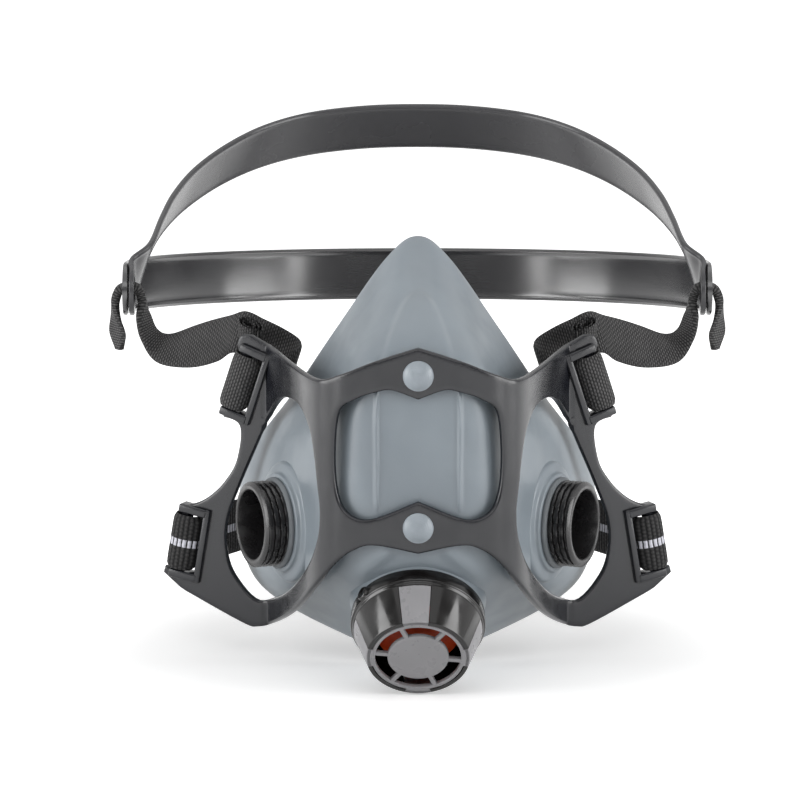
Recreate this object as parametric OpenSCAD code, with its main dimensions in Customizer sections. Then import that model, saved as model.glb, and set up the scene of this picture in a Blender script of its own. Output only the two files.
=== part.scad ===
// Half-mask respirator: rubber facepiece, moulded cradle, two filter connectors,
// an exhalation valve at the chin, a rubber head harness and an elastic neck strap.
// Millimetres. Origin at the centre of the face seal, +Y towards the wearer, +Z up.

/* [Facepiece] */
// Half width of the face seal at the cheeks
seal_half_w = 64; // [58:1:70]
// Height of the nose tip above the origin
seal_top = 67; // [61:1:73]
// Depth of the chin edge below the origin
seal_bottom = 84; // [78:1:90]
// Distance from the origin forward to the front panel
panel_depth = 62; // [57:1:67]
// Half width of the flat front panel
panel_half_w = 14; // [12:0.5:16]
// Thickness of the rubber wall
wall = 2.6; // [2:0.1:3.2]
// Width of the turned-in sealing lip
lip_w = 12; // [9:0.5:15]

/* [Filter connectors] */
// Radius of the moulded collar on the cheek
collar_r = 17; // [16.5:0.5:19]
// Height of the collar above the cheek
collar_h = 2; // [1.5:0.1:3]
// Outer radius of the filter thread
thread_r = 14.8; // [14.4:0.1:15.6]
// Length of the filter thread
thread_len = 8.2; // [6:0.2:12]
// Radius of the air inlet
inlet_r = 12; // [11:0.1:12.4]
// Thickness of the port gasket
gasket_t = 1.8; // [1.2:0.1:2.4]

/* [Exhalation valve] */
// Angle of the valve below the horizontal
valve_dip = 34; // [30:1:38]
// Outer radius of the shroud at its back ring
shroud_r = 22.9; // [22.4:0.1:24.5]
// Outer radius of the shroud at its front rim
shroud_front_r = 17.5; // [17:0.1:19]
// Length of the shroud
shroud_len = 20; // [18:0.5:24]
// Radius of the valve flap
flap_r = 14; // [12.5:0.1:14.4]
// Radius of the disc in the middle of the cage
cage_disc_r = 10.4; // [9:0.1:11]

/* [Cradle] */
// Thickness of the cradle sheet
cradle_t = 2.4; // [2:0.1:3]
// Height of each stud above or below the middle of the panel
stud_z = 26; // [24:0.5:27]
// Radius of a stud head
stud_r = 5.2; // [4.6:0.1:5.8]
// Radius of the round bar that carries the webbing
bar_r = 2.2; // [1.8:0.1:2.4]

/* [Webbing] */
// Width of the webbing
webbing_w = 19; // [17:0.5:20]
// Thickness of the webbing
webbing_t = 1.4; // [1:0.1:1.6]

/* [Head harness] */
// Width of the rubber straps
strap_w = 19; // [17:0.5:22]
// Thickness of the rubber straps
strap_t = 2; // [1.4:0.1:2.6]
// Half width of the head loop at the nape strap
loop_half_w = 103; // [98:1:108]
// Rise of the crown strap towards the back
crown_rise = 23; // [18:1:28]
// Fall of the nape strap towards the back
nape_fall = 6; // [3:1:10]

/* [Clearances] */
// Gap between parts that slide or turn on each other
run_gap = 0.3; // [0.2:0.05:0.4]
// Gap between parts that are pressed together
press_gap = 0.1; // [0.05:0.01:0.15]

/* [Hidden] */
$fn = 64;
big = 200;
right = 1;
left = -1;

// Vectors and smooth curves

function unit(v) = v / norm(v);
function flip(p, side) = [side * p[0], p[1], p[2]];

// Catmull-Rom point between b and c
function curve(a, b, c, d, t) =
    0.5 * (2 * b + (c - a) * t + (2 * a - 5 * b + 4 * c - d) * t * t
        + (3 * b - a - 3 * c + d) * t * t * t);

// Smooth open line through the points of a list, with steps pieces between two points
function smooth(list, steps) = let (last = len(list) - 1) [
    for (i = [0:last - 1], k = [0:steps - 1])
        curve(list[max(i - 1, 0)], list[i], list[i + 1], list[min(i + 2, last)], k / steps),
    list[last]];

// Smooth closed line through the points of a list
function smooth_loop(list, steps) = let (n = len(list)) [
    for (i = [0:n - 1], k = [0:steps - 1])
        curve(list[(i + n - 1) % n], list[i], list[(i + 1) % n], list[(i + 2) % n], k / steps)];

// Facepiece form: three rails run down the right half from nose to chin, and at each place
// a conic arc leaves the panel, rounds the shoulder and ends at the seal edge

panel_y = -panel_depth;
seal_rail = [
    [0, -12, seal_top],
    [0.172 * seal_half_w, -10, 0.88 * seal_top],
    [0.453 * seal_half_w, -1, 0.478 * seal_top],
    [0.703 * seal_half_w, 9, 0.104 * seal_top],
    [0.922 * seal_half_w, 17, -0.167 * seal_bottom],
    [seal_half_w, 21, -0.429 * seal_bottom],
    [0.891 * seal_half_w, 12, -0.726 * seal_bottom],
    [0.422 * seal_half_w, -3, -0.911 * seal_bottom],
    [0, -8, -seal_bottom]];
shoulder_rail = [
    [0, panel_y + 3, stud_z + 12],
    [panel_half_w - 5, panel_y + 3, stud_z + 11],
    [panel_half_w + 7, panel_y + 4, stud_z + 4],
    [panel_half_w + 12, panel_y + 2, stud_z - 12],
    [panel_half_w + 13.5, panel_y + 1.5, -6],
    [panel_half_w + 15, panel_y + 2, -stud_z],
    [panel_half_w + 14, panel_y + 5, -stud_z - 17],
    [panel_half_w + 1, panel_y + 4, -stud_z - 25],
    [0, panel_y + 4, -stud_z - 26]];
panel_rail = [
    [0, panel_y, stud_z + 5],
    [panel_half_w - 9, panel_y, stud_z + 5],
    [panel_half_w - 2, panel_y, stud_z + 2],
    [panel_half_w, panel_y, stud_z / 2],
    [panel_half_w, panel_y, -4],
    [panel_half_w, panel_y, 7 - stud_z],
    [panel_half_w - 2, panel_y, -stud_z - 5],
    [panel_half_w - 9, panel_y, -stud_z - 8],
    [0, panel_y, -stud_z - 8]];
rail_end = len(seal_rail) - 1;
shoulder_weight = 2.6;
face_columns = 28;
face_steps = [0, 0.09, 0.19, 0.3, 0.42, 0.54, 0.65, 0.75, 0.83, 0.9, 0.95, 0.98, 1];
lip_root = 0.992;
lip_tip_t = 1.2;
face_centre = [0, -8, -10];

function rail_knot(rail, k) =
    k < 0 ? flip(rail[-k], left)
    : k > rail_end ? flip(rail[2 * rail_end - k], left)
    : rail[k];
function along(rail, u) = let (i = min(floor(u), rail_end - 1))
    curve(rail_knot(rail, i - 1), rail_knot(rail, i), rail_knot(rail, i + 1),
        rail_knot(rail, i + 2), u - i);
function face_point(u, t) = let (
        a = (1 - t) * (1 - t),
        b = 2 * shoulder_weight * t * (1 - t),
        c = t * t)
    (a * along(panel_rail, u) + b * along(shoulder_rail, u) + c * along(seal_rail, u)) / (a + b + c);

// Outward normal of the form, from small steps along and across it
function face_normal(u, t) = let (
        h = 0.002,
        du = face_point(min(u + h, rail_end), t) - face_point(max(u - h, 0), t),
        dt = face_point(u, min(t + h, 1)) - face_point(u, max(t - h, 0)),
        n = unit(cross(du, dt)),
        on_axis = u == 0 || u == rail_end)
    unit([on_axis ? 0 : n[0], n[1], n[2]]);
function inner_point(u, t) = face_point(u, t) - wall * face_normal(u, t);
function inward(u) = let (e = along(seal_rail, u)) unit([-e[0], 0, face_centre[2] - e[2]]);
function lip_back(u) = along(seal_rail, u) + lip_w * inward(u) - [0, 1, 0];
function lip_front(u) = lip_back(u) - [0, lip_tip_t, 0];

// Place of column j round the whole mask: rail parameter and side
function column_u(j) = rail_end * (j <= face_columns ? j : 2 * face_columns - j) / face_columns;
function column_side(j) = j <= face_columns ? right : left;
column_count = 2 * face_columns;

// Closed skin from rings of equal length, with a point that closes each end
module ring_skin(first, rings, last) {
    n = len(rings[0]);
    m = len(rings);
    points = concat([first], [for (r = rings) each r], [last]);
    polyhedron(points, concat(
        [for (j = [0:n - 1]) [0, 1 + j, 1 + (j + 1) % n]],
        [for (i = [0:m - 2], j = [0:n - 1], half = [0, 1]) let (
                a = 1 + i * n + j,
                b = 1 + i * n + (j + 1) % n,
                c = a + n,
                d = b + n)
            half == 0 ? [a, c, b] : [b, c, d]],
        [for (j = [0:n - 1]) [1 + m * n, 1 + (m - 1) * n + (j + 1) % n, 1 + (m - 1) * n + j]]));
}

module face_outer() {
    rings = concat(
        [for (t = face_steps)
            [for (j = [0:column_count - 1]) flip(face_point(column_u(j), t), column_side(j))]],
        [[for (j = [0:column_count - 1]) flip(lip_back(column_u(j)), column_side(j))]]);
    ring_skin([0, panel_y, 0], rings, face_centre);
}

module face_cavity() {
    steps = concat([for (t = face_steps) if (t < lip_root) t], [lip_root]);
    rings = concat(
        [for (t = steps)
            [for (j = [0:column_count - 1]) flip(inner_point(column_u(j), t), column_side(j))]],
        [[for (j = [0:column_count - 1]) flip(lip_front(column_u(j)), column_side(j))]],
        [[for (j = [0:column_count - 1]) let (p = flip(lip_front(column_u(j)), column_side(j)))
            [p[0], panel_depth, p[2]]]]);
    ring_skin([0, panel_y + wall, 0], rings, [0, panel_depth, face_centre[2]]);
}

// Cheek ports: the collar stands on the form at port_u, port_t and points along its normal

port_u = 5.1;
port_t = 0.85;
port_axis = face_normal(port_u, port_t);
port_place = face_point(port_u, port_t) + collar_h * port_axis;
port_web = collar_h + wall - 0.4;
neck_r = inlet_r + 1.6;
flange_t = 2;
flange_r = collar_r + 0.6;
flange_face = -port_web - press_gap;
rim_h = gasket_t + thread_len;
seat_lip = 1.8;
hub_r = 3;
spoke_w = 2;
stem_r = 1.4;
bulb_r = 2.1;
stem_gap = 0.15;
flap_lift = 1.2;
flap_t = 0.8;

// Puts +Z of the children on the port's axis, with zero at the collar's face
module at_port(side) {
    mirror([side == left ? 1 : 0, 0, 0])
        translate(port_place)
            rotate([0, acos(port_axis[2]), atan2(port_axis[1], port_axis[0])])
                children();
}

// Chin port: its boss stands on the form at valve_t on the middle line

valve_t = 0.62;
valve_boss_h = 2.8;
valve_axis = [0, -cos(valve_dip), -sin(valve_dip)];
valve_place = face_point(rail_end, valve_t) + valve_boss_h * valve_axis;
valve_boss_r = shroud_r - 1.4;
valve_web = 6;
seat_inner_r = flap_r - 1.4;
seat_barrel_r = seat_inner_r + 3.7;
seat_flange_r = seat_barrel_r + 2.3;
seat_flange_t = 2;
seat_outer_r = seat_barrel_r + 3.3;
seat_cup_h = 8.2;
seat_rim_h = 0.5;
hub_low = 5;
hub_high = 7;
flap_face = seat_cup_h + seat_rim_h + press_gap;

// Puts +Z of the children on the valve's axis, with zero at the boss face and +Y at its top
module at_valve() {
    translate(valve_place) rotate([90 + valve_dip, 0, 0]) children();
}

// Front panel fixings

pad_r = stud_r + 1.3;
pad_h = 1;
stud_shank_r = 2.5;
stud_dome_h = 2.3;
button_t = 1.6;

// Puts +Z of the children out of the panel at a stud, with zero at the panel's face
module at_stud(z) {
    translate([0, panel_y, z]) rotate([90, 0, 0]) children();
}

module facepiece() {
    rib_r = 0.9;
    color("#8f9ba3") difference() {
        union() {
            face_outer();
            for (side = [right, left]) at_port(side)
                translate([0, 0, -port_web - 3]) cylinder(r = collar_r, h = port_web + 3);
            at_valve() translate([0, 0, -40]) cylinder(r = valve_boss_r, h = 40);
            for (z = [stud_z, -stud_z]) at_stud(z)
                translate([0, 0, -wall / 2]) cylinder(r = pad_r, h = pad_h + wall / 2);
            for (side = [right, left])
                translate([side * panel_half_w, panel_y, -stud_z + pad_r])
                    cylinder(r = rib_r, h = 2 * (stud_z - pad_r));
        }
        face_cavity();
        for (side = [right, left]) at_port(side) {
            translate([0, 0, -big / 2]) cylinder(r = neck_r + press_gap, h = big);
            translate([0, 0, -port_web - 30]) cylinder(r = flange_r + run_gap, h = 30);
        }
        at_valve() {
            translate([0, 0, -30]) cylinder(r = seat_barrel_r + press_gap, h = 60);
            translate([0, 0, -valve_web - 30]) cylinder(r = seat_flange_r + run_gap, h = 30);
        }
        for (z = [stud_z, -stud_z]) at_stud(z)
            translate([0, 0, -big / 4]) cylinder(r = stud_shank_r + press_gap, h = big / 2);
    }
}

// Cradle: a front outline in X and Z cut from a sheet bent to a plan profile in X and Y

flare_slope = 21.7;
flare_x = seal_half_w - 11;
flare_y = -1.5;
flare_reach = 45;
bend_start = [13, 4.2];
bend_end = [22, 14.2];
cradle_mid_y = panel_y - pad_h - cradle_t / 2;
cradle_plan = concat(
    [[0, cradle_mid_y]],
    smooth([
        [panel_half_w, cradle_mid_y],
        [panel_half_w, cradle_mid_y] + bend_start,
        [panel_half_w, cradle_mid_y] + bend_end,
        [flare_x - 4, flare_y - 6.5],
        [flare_x, flare_y]], 6),
    [[flare_x + flare_reach, flare_y + flare_reach * tan(flare_slope)]]);

// Line set off sideways by d, with the direction of each point taken from its neighbours
function beside(line, d) = let (last = len(line) - 1) [
    for (i = [0:last]) let (
            v = unit(line[min(i + 1, last)] - line[max(i - 1, 0)]))
        line[i] + d * [v[1], -v[0]]];
function reversed(list) = [for (i = [len(list) - 1:-1:0]) list[i]];
function mirrored(list) = [for (p = list) [-p[0], p[1]]];

module cradle_sheet() {
    front = beside(cradle_plan, cradle_t / 2);
    back = beside(cradle_plan, -cradle_t / 2);
    translate([0, 0, -big / 2]) linear_extrude(big)
        polygon(concat(reversed(mirrored(front)), front, reversed(back), mirrored(back)));
}

// Outer outline of the right half, from the middle of the upper band to that of the lower band
band_rise = 9.5;
cradle_edge = concat(
    smooth([
        [0, stud_z + band_rise],
        [panel_half_w, stud_z + 5],
        [panel_half_w + 11, stud_z + 0.2],
        [panel_half_w + 18, stud_z - 2.5],
        [flare_x - 14, stud_z - 2.4],
        [flare_x - 3.5, stud_z - 0.5],
        [flare_x + 4.5, stud_z + 3.5]], 5),
    [[flare_x + 8.5, stud_z + 3]],
    smooth([
        [flare_x + 15.5, stud_z - 26],
        [flare_x + 8.6, stud_z - 29],
        [flare_x + 9.7, stud_z - 41],
        [flare_x + 14, stud_z - 49],
        [flare_x + 19.2, stud_z - 54.5],
        [flare_x + 24, stud_z - 57.4],
        [flare_x + 29, stud_z - 58.6]], 5),
    [[flare_x + 34, stud_z - 60]],
    [[flare_x + 37, stud_z - 82]],
    [[flare_x + 30, stud_z - 88]],
    smooth([
        [flare_x + 28, stud_z - 89.2],
        [flare_x + 8, stud_z - 98.8],
        [flare_x + 2.5, stud_z - 99.8],
        [flare_x - 3, stud_z - 97.5],
        [flare_x - 10.5, stud_z - 88.3],
        [panel_half_w + 20.5, -stud_z - 22.7],
        [panel_half_w + 13.5, -stud_z - 13],
        [panel_half_w + 7, -stud_z - 7.8],
        [panel_half_w, -stud_z - 6.2],
        [0, -stud_z - 9]], 5));

// Opening over the middle of the panel, right half
centre_edge = smooth([
    [0, stud_z - 8.2],
    [panel_half_w - 5, stud_z - 5],
    [panel_half_w + 1, stud_z - 6],
    [panel_half_w + 7, stud_z - 8.4],
    [panel_half_w + 12.5, stud_z - 13],
    [panel_half_w + 14, 0],
    [panel_half_w + 13.4, -stud_z + 13],
    [panel_half_w + 10.7, -stud_z + 5.7],
    [panel_half_w + 5, -stud_z + 2.6],
    [panel_half_w - 2, -stud_z + 4],
    [0, -stud_z + 9]], 5);

// Opening round each filter connector
eye_edge = smooth_loop([
    [flare_x - 8, stud_z - 15],
    [flare_x - 3.6, stud_z - 21],
    [flare_x + 3.6, stud_z - 37.7],
    [flare_x + 8.7, stud_z - 50],
    [flare_x + 13, stud_z - 62],
    [flare_x + 13.5, stud_z - 72.5],
    [flare_x + 10.5, stud_z - 82],
    [flare_x + 2, stud_z - 90.4],
    [flare_x - 7, stud_z - 84.6],
    [panel_half_w + 23.5, -stud_z - 18.2],
    [panel_half_w + 19.6, -stud_z - 6.6],
    [panel_half_w + 18.7, -stud_z + 3.6],
    [panel_half_w + 19.5, -13],
    [panel_half_w + 20.5, -3],
    [panel_half_w + 22, stud_z - 20.7],
    [panel_half_w + 25.5, stud_z - 14.6]], 4);

module front_cut(outline) {
    rotate([90, 0, 0]) translate([0, 0, -big / 2]) linear_extrude(big) polygon(outline);
}

module both_sides() {
    children();
    mirror([1, 0, 0]) children();
}

// Webbing tabs: x of the bar, height of the bar and lean of the bar in the flared sheet
upper_tab = [flare_x + 9, stud_z - 13, 19];
lower_tab = [flare_x + 29, stud_z - 71.2, 10];
slot_w = 4.6;
slot_len = webbing_w + 1.6;
lug_h = 3;
lug_depth = 2 * bar_r + 1.6;
lug_over = 0.4;
tab_rib_w = 2.4;
tab_rib_h = 1.5;

function tab_place(tab) = [tab[0], flare_y + (tab[0] - flare_x) * tan(flare_slope), tab[1]];
// Tab directions: across the bar outwards, along the bar upwards, and towards the wearer
function tab_across(tab) =
    [cos(tab[2]) * cos(flare_slope), cos(tab[2]) * sin(flare_slope), sin(tab[2])];
function tab_along(tab) =
    [-sin(tab[2]) * cos(flare_slope), -sin(tab[2]) * sin(flare_slope), cos(tab[2])];
function tab_back(tab) = [-sin(flare_slope), cos(flare_slope), 0];

// Puts the children on the bar: +X across it outwards, +Y towards the wearer, +Z along it
module at_tab(tab) {
    translate(tab_place(tab)) rotate([0, 0, flare_slope]) rotate([0, -tab[2], 0]) children();
}

module tab_window() {
    translate([-bar_r - slot_w, -10, -slot_len / 2]) cube([40, 20, slot_len]);
}

module tab_bar() {
    cylinder(r = bar_r, h = slot_len + 2 * lug_h, center = true);
    for (end = [1, -1])
        translate([-bar_r - slot_w, -lug_depth / 2, end * (slot_len + lug_h) / 2 - lug_h / 2])
            cube([2 * bar_r + slot_w + lug_over, lug_depth, lug_h]);
    translate([-bar_r - slot_w - tab_rib_w, -cradle_t / 2 - tab_rib_h, -slot_len / 2 - lug_h])
        cube([tab_rib_w, tab_rib_h + cradle_t / 2, slot_len + 2 * lug_h]);
}

module cradle() {
    color("#4b4c50") difference() {
        union() {
            difference() {
                intersection() {
                    cradle_sheet();
                    front_cut(concat(cradle_edge, reversed(mirrored(cradle_edge))));
                }
                front_cut(concat(centre_edge, reversed(mirrored(centre_edge))));
                both_sides() front_cut(eye_edge);
                both_sides() for (tab = [upper_tab, lower_tab]) at_tab(tab) tab_window();
            }
            both_sides() for (tab = [upper_tab, lower_tab]) at_tab(tab) tab_bar();
        }
        for (z = [stud_z, -stud_z]) at_stud(z)
            cylinder(r = stud_shank_r + press_gap, h = 20, center = true);
    }
}

// Stud: domed head, shank through cradle and wall, button inside the facepiece
module stud(z) {
    head = pad_h + cradle_t + press_gap;
    foot = -wall - press_gap;
    dome_r = (stud_r * stud_r + stud_dome_h * stud_dome_h) / (2 * stud_dome_h);
    color("#939ca3") at_stud(z) {
        intersection() {
            translate([0, 0, head + stud_dome_h - dome_r]) sphere(r = dome_r);
            translate([0, 0, head]) cylinder(r = stud_r, h = stud_dome_h + 1);
        }
        translate([0, 0, foot - button_t / 2])
            cylinder(r = stud_shank_r, h = head - foot + button_t / 2 + 0.5);
        translate([0, 0, foot - button_t]) cylinder(r = stud_shank_r + 2, h = button_t);
    }
}
module upper_stud() { stud(stud_z); }
module lower_stud() { stud(-stud_z); }

// Hub on spokes across a round passage, with a hole for a flap's stem
module spider(r, spokes, low, high) {
    difference() {
        union() {
            translate([0, 0, low]) cylinder(r = hub_r, h = high - low);
            for (i = [0:spokes - 1]) rotate([0, 0, i * 360 / spokes])
                translate([0, -spoke_w / 2, low]) cube([r, spoke_w, high - low]);
        }
        translate([0, 0, low - 1]) cylinder(r = stem_r + stem_gap, h = high - low + 2);
    }
}

// Connector: inner flange, neck in the wall, threaded spigot and a spider for the flap
module connector(side) {
    rim_land = 1.3;
    chamfer = 1;
    low = flange_face - flange_t;
    color("#38373b") at_port(side) {
        rotate_extrude() polygon([
            [inlet_r - seat_lip, low],
            [flange_r, low],
            [flange_r, flange_face],
            [neck_r, flange_face],
            [neck_r, gasket_t],
            [thread_r, gasket_t],
            [thread_r, rim_h - chamfer],
            [inlet_r + rim_land, rim_h],
            [inlet_r, rim_h],
            [inlet_r, flange_face],
            [inlet_r - seat_lip, flange_face]]);
        spider(inlet_r - seat_lip + 0.5, 4, low, flange_face);
    }
}
module left_connector() { connector(left); }
module right_connector() { connector(right); }

// Gasket ring at the foot of the thread, with a bevelled outer edge
module port_gasket(side) {
    gasket_r = collar_r - 1.2;
    color("#5d6266") at_port(side) rotate_extrude() polygon([
        [neck_r + press_gap, 0],
        [gasket_r, 0],
        [gasket_r, gasket_t / 2],
        [gasket_r - gasket_t / 2, gasket_t],
        [neck_r + press_gap, gasket_t]]);
}
module left_port_gasket() { port_gasket(left); }
module right_port_gasket() { port_gasket(right); }

// Flap with a stem and a bulb that holds it in a hub, lifting towards +Z
module flap(r, hub_from, hub_to) {
    bulb_top = hub_from - flap_lift - stem_gap;
    rotate_extrude() polygon([
        [0, hub_to],
        [r, hub_to],
        [r, hub_to + 0.6 * flap_t],
        [0.3 * r, hub_to + flap_t],
        [0, hub_to + flap_t]]);
    translate([0, 0, bulb_top - 0.5]) cylinder(r = stem_r, h = hub_to - bulb_top + 0.6);
    translate([0, 0, bulb_top - 1.5]) cylinder(r1 = stem_r, r2 = bulb_r, h = 1.5);
}

// Inhalation flap: lies on the connector's inner face and lifts into the mask
module inhalation_flap(side) {
    color("#b8653a") at_port(side) mirror([0, 0, 1])
        flap(inlet_r - 0.5, -flange_face, flange_t - flange_face + press_gap);
}
module left_inhalation_flap() { inhalation_flap(left); }
module right_inhalation_flap() { inhalation_flap(right); }

// Valve seat: barrel held between two flanges in the chin web, cup with a sealing rim
module exhalation_seat() {
    color("#2c2c2e") at_valve() {
        rotate_extrude() polygon([
            [seat_inner_r, -valve_web - press_gap - seat_flange_t],
            [seat_flange_r, -valve_web - press_gap - seat_flange_t],
            [seat_flange_r, -valve_web - press_gap],
            [seat_barrel_r, -valve_web - press_gap],
            [seat_barrel_r, press_gap],
            [seat_outer_r, press_gap],
            [seat_outer_r, press_gap + seat_flange_t],
            [seat_inner_r + 2.2, press_gap + seat_flange_t],
            [seat_inner_r + 2.2, seat_cup_h],
            [seat_inner_r + 1.2, seat_cup_h],
            [seat_inner_r + 1.2, seat_cup_h + seat_rim_h],
            [seat_inner_r, seat_cup_h + seat_rim_h]]);
        spider(seat_inner_r + 0.5, 4, hub_low, hub_high);
    }
}

module exhalation_flap() {
    color("#d2461e") at_valve() flap(flap_r, hub_low, flap_face);
}

// Shroud: cone with a thick back ring, a pull lug and four windows that take the cage's panels

shroud_wall = 1.5;
ring_h = 5.5;
shroud_base = press_gap + run_gap;
grip_r = seat_outer_r + run_gap;
cage_t = 1.8;
cage_spokes = 6;
cage_spoke_phase = 53;
cage_spoke_w = 1.5;
cage_ring_w = 1.3;
panel_angles = [93, 180, 270, 0];
panel_arc = 30;
panel_gap = 0.15;
window_low = ring_h + 1.2;

// Radius of the cone's outer face at height z above the shroud's base
cone_back_r = shroud_r - 0.5;
function cone_r(z) = cone_back_r - (z - ring_h) * (cone_back_r - shroud_front_r) / (shroud_len - ring_h);

// Wedge of the given arc about the valve's axis
module wedge(angle, arc) {
    reach = 60;
    far = reach * [cos(arc / 2), sin(arc / 2)];
    rotate([0, 0, angle]) linear_extrude(big, center = true)
        polygon([[0, 0], [far[0], -far[1]], far]);
}

module cone_wall(low, high) {
    rotate_extrude() polygon([
        [cone_r(low) - shroud_wall, low],
        [cone_r(low), low],
        [cone_r(high), high],
        [cone_r(high) - shroud_wall, high]]);
}

module valve_shroud() {
    lug_angle = 144;
    color("#2b2b2d") at_valve() translate([0, 0, shroud_base]) {
        rotate_extrude() polygon([
            [grip_r, 0],
            [shroud_r - 0.6, 0],
            [shroud_r, 0.6],
            [shroud_r, ring_h - 0.5],
            [cone_r(ring_h), ring_h],
            [cone_r(ring_h) - shroud_wall, ring_h],
            [grip_r, 3]]);
        difference() {
            cone_wall(ring_h, shroud_len);
            for (a = panel_angles) intersection() {
                wedge(a, panel_arc);
                translate([0, 0, window_low]) cylinder(r = big, h = big);
            }
        }
        rotate([0, 0, lug_angle]) translate([shroud_r - 1.2, 0, ring_h / 2])
            rotate([0, 90, 0]) cylinder(r = ring_h / 2 - 0.4, h = 2.2);
    }
}

// Cage: disc, spokes and ring at the front, with side panels that fill the shroud's windows
module valve_cage() {
    ring_r = cone_r(shroud_len) - shroud_wall - panel_gap;
    color("#9b9b9f") at_valve() translate([0, 0, shroud_base]) {
        translate([0, 0, shroud_len - cage_t]) {
            cylinder(r = cage_disc_r, h = cage_t);
            difference() {
                cylinder(r = ring_r, h = cage_t);
                translate([0, 0, -1]) cylinder(r = ring_r - cage_ring_w, h = cage_t + 2);
            }
            for (i = [0:cage_spokes - 1]) rotate([0, 0, cage_spoke_phase + i * 360 / cage_spokes])
                translate([cage_disc_r - 0.5, -cage_spoke_w / 2, 0])
                    cube([ring_r - cage_disc_r, cage_spoke_w, cage_t]);
            for (a = panel_angles) intersection() {
                wedge(a, panel_arc - 1.2);
                difference() {
                    cylinder(r = ring_r + shroud_wall, h = cage_t);
                    translate([0, 0, -1]) cylinder(r = ring_r - cage_ring_w / 2, h = cage_t + 2);
                }
            }
        }
        for (a = panel_angles) intersection() {
            wedge(a, panel_arc - 1.2);
            cone_wall(window_low + panel_gap, shroud_len);
        }
    }
}

// Head harness: two rubber loops that share an eyelet axis across the mask

eyelet_y = 44;
eyelet_z = 38.5;
eyelet_r = 5;
nape_lead = 9;
crown_reach = 114;
crown_half_w = loop_half_w - strap_t - run_gap;

// Puts the children on the eyelet axis, turned up towards the back by tilt
module at_eyelets(tilt) {
    translate([0, eyelet_y, eyelet_z]) rotate([tilt, 0, 0]) children();
}

// Rounded end of a strap with its eyelet
module strap_end(half_w, lead) {
    translate([half_w, 0, 0]) difference() {
        union() {
            translate([-strap_t / 2, 0, -strap_w / 2]) cube([strap_t, lead, strap_w]);
            rotate([0, 90, 0]) cylinder(r = strap_w / 2, h = strap_t, center = true);
        }
        rotate([0, 90, 0]) cylinder(r = eyelet_r, h = 4 * strap_t, center = true);
    }
}

module nape_strap() {
    color("#5f5f63") at_eyelets(-nape_fall) {
        translate([0, nape_lead, 0]) rotate_extrude(angle = 180)
            translate([loop_half_w - strap_t / 2, -strap_w / 2]) square([strap_t, strap_w]);
        both_sides() strap_end(loop_half_w, nape_lead);
    }
}

// Webbing: a flat ribbon carried along a route of [place, direction of its width, width, thickness]

// Flattened entry, so that a whole route can be smoothed at once
function knot(place, across, w, t) = concat(place, across, [w, t]);
function knot_place(k) = [k[0], k[1], k[2]];
function knot_across(k) = unit([k[3], k[4], k[5]]);

module ribbon(route) {
    last = len(route) - 1;
    points = [for (i = [0:last]) let (
            place = knot_place(route[i]),
            run = unit(knot_place(route[min(i + 1, last)]) - knot_place(route[max(i - 1, 0)])),
            across = knot_across(route[i]),
            thin = unit(cross(run, across)),
            w = route[i][6] / 2,
            t = route[i][7] / 2)
        each [place - w * across - t * thin, place + w * across - t * thin,
            place + w * across + t * thin, place - w * across + t * thin]];
    polyhedron(points, concat(
        [[0, 1, 2], [0, 2, 3]],
        [for (i = [0:last - 1], s = [0:3], half = [0, 1]) let (
                a = 4 * i + s,
                b = 4 * i + (s + 1) % 4,
                c = a + 4,
                d = b + 4)
            half == 0 ? [a, c, b] : [b, c, d]],
        [[4 * last, 4 * last + 2, 4 * last + 1], [4 * last, 4 * last + 3, 4 * last + 2]]));
}

// Crown loop, right half from its end to the middle: shares of half width, depth and rise,
// and the lean of its width, which turns on the way so that the band lies on the head
crown_end_tilt = 33;
crown_lead = eyelet_r + 2;
crown_bend = [
    [0.96, 0.105, 0.184, [-0.26, -0.53, 0.79]],
    [0.928, 0.248, 0.349, [-0.31, -0.52, 0.79]],
    [0.885, 0.362, 0.498, [-0.28, -0.5, 0.82]],
    [0.813, 0.514, 0.638, [-0.24, -0.45, 0.86]],
    [0.701, 0.686, 0.771, [-0.18, -0.47, 0.87]],
    [0.564, 0.829, 0.878, [-0.11, -0.46, 0.88]],
    [0.4, 0.93, 0.95, [-0.06, -0.45, 0.89]],
    [0.2, 0.985, 0.99, [-0.03, -0.45, 0.89]]];
function crown_knot(b, side) = knot(
    [side * b[0] * crown_half_w,
        eyelet_y + b[1] * crown_reach * cos(crown_rise),
        eyelet_z + b[2] * crown_reach * sin(crown_rise)],
    flip(b[3], side), strap_w, strap_t);
function crown_start(side) = knot(
    [side * crown_half_w,
        eyelet_y + (crown_lead - 1) * cos(crown_end_tilt),
        eyelet_z + (crown_lead - 1) * sin(crown_end_tilt)],
    [0, -sin(crown_end_tilt), cos(crown_end_tilt)], strap_w - 2, 0.7 * strap_t);
crown_route = smooth(concat(
    [crown_start(right)],
    [for (b = crown_bend) crown_knot(b, right)],
    [crown_knot([0, 1, 1, [0, -0.45, 0.89]], right)],
    [for (b = reversed(crown_bend)) crown_knot(b, left)],
    [crown_start(left)]), 4);

module crown_strap() {
    color("#5b5b60") {
        ribbon(crown_route);
        at_eyelets(crown_end_tilt) both_sides() intersection() {
            strap_end(crown_half_w, crown_lead + 2);
            translate([0, crown_lead - big, -big / 2]) cube(big);
        }
    }
}

wrap_slack = 0.9;
wrap_r = bar_r + wrap_slack + webbing_t / 2;

// Knots round a tab's bar, from one angle to another, with zero outwards and 90 towards the wearer
function tab_wrap(tab, from, to, count) = [
    for (i = [0:count]) let (a = from + i * (to - from) / count)
        knot(tab_place(tab) + wrap_r * (cos(a) * tab_across(tab) + sin(a) * tab_back(tab)),
            tab_along(tab), webbing_w, webbing_t)];

upright = [0, 0, 1];
hem_t = 3 * webbing_t;
bundle_w = 8;
bundle_t = 3.2;

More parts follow.
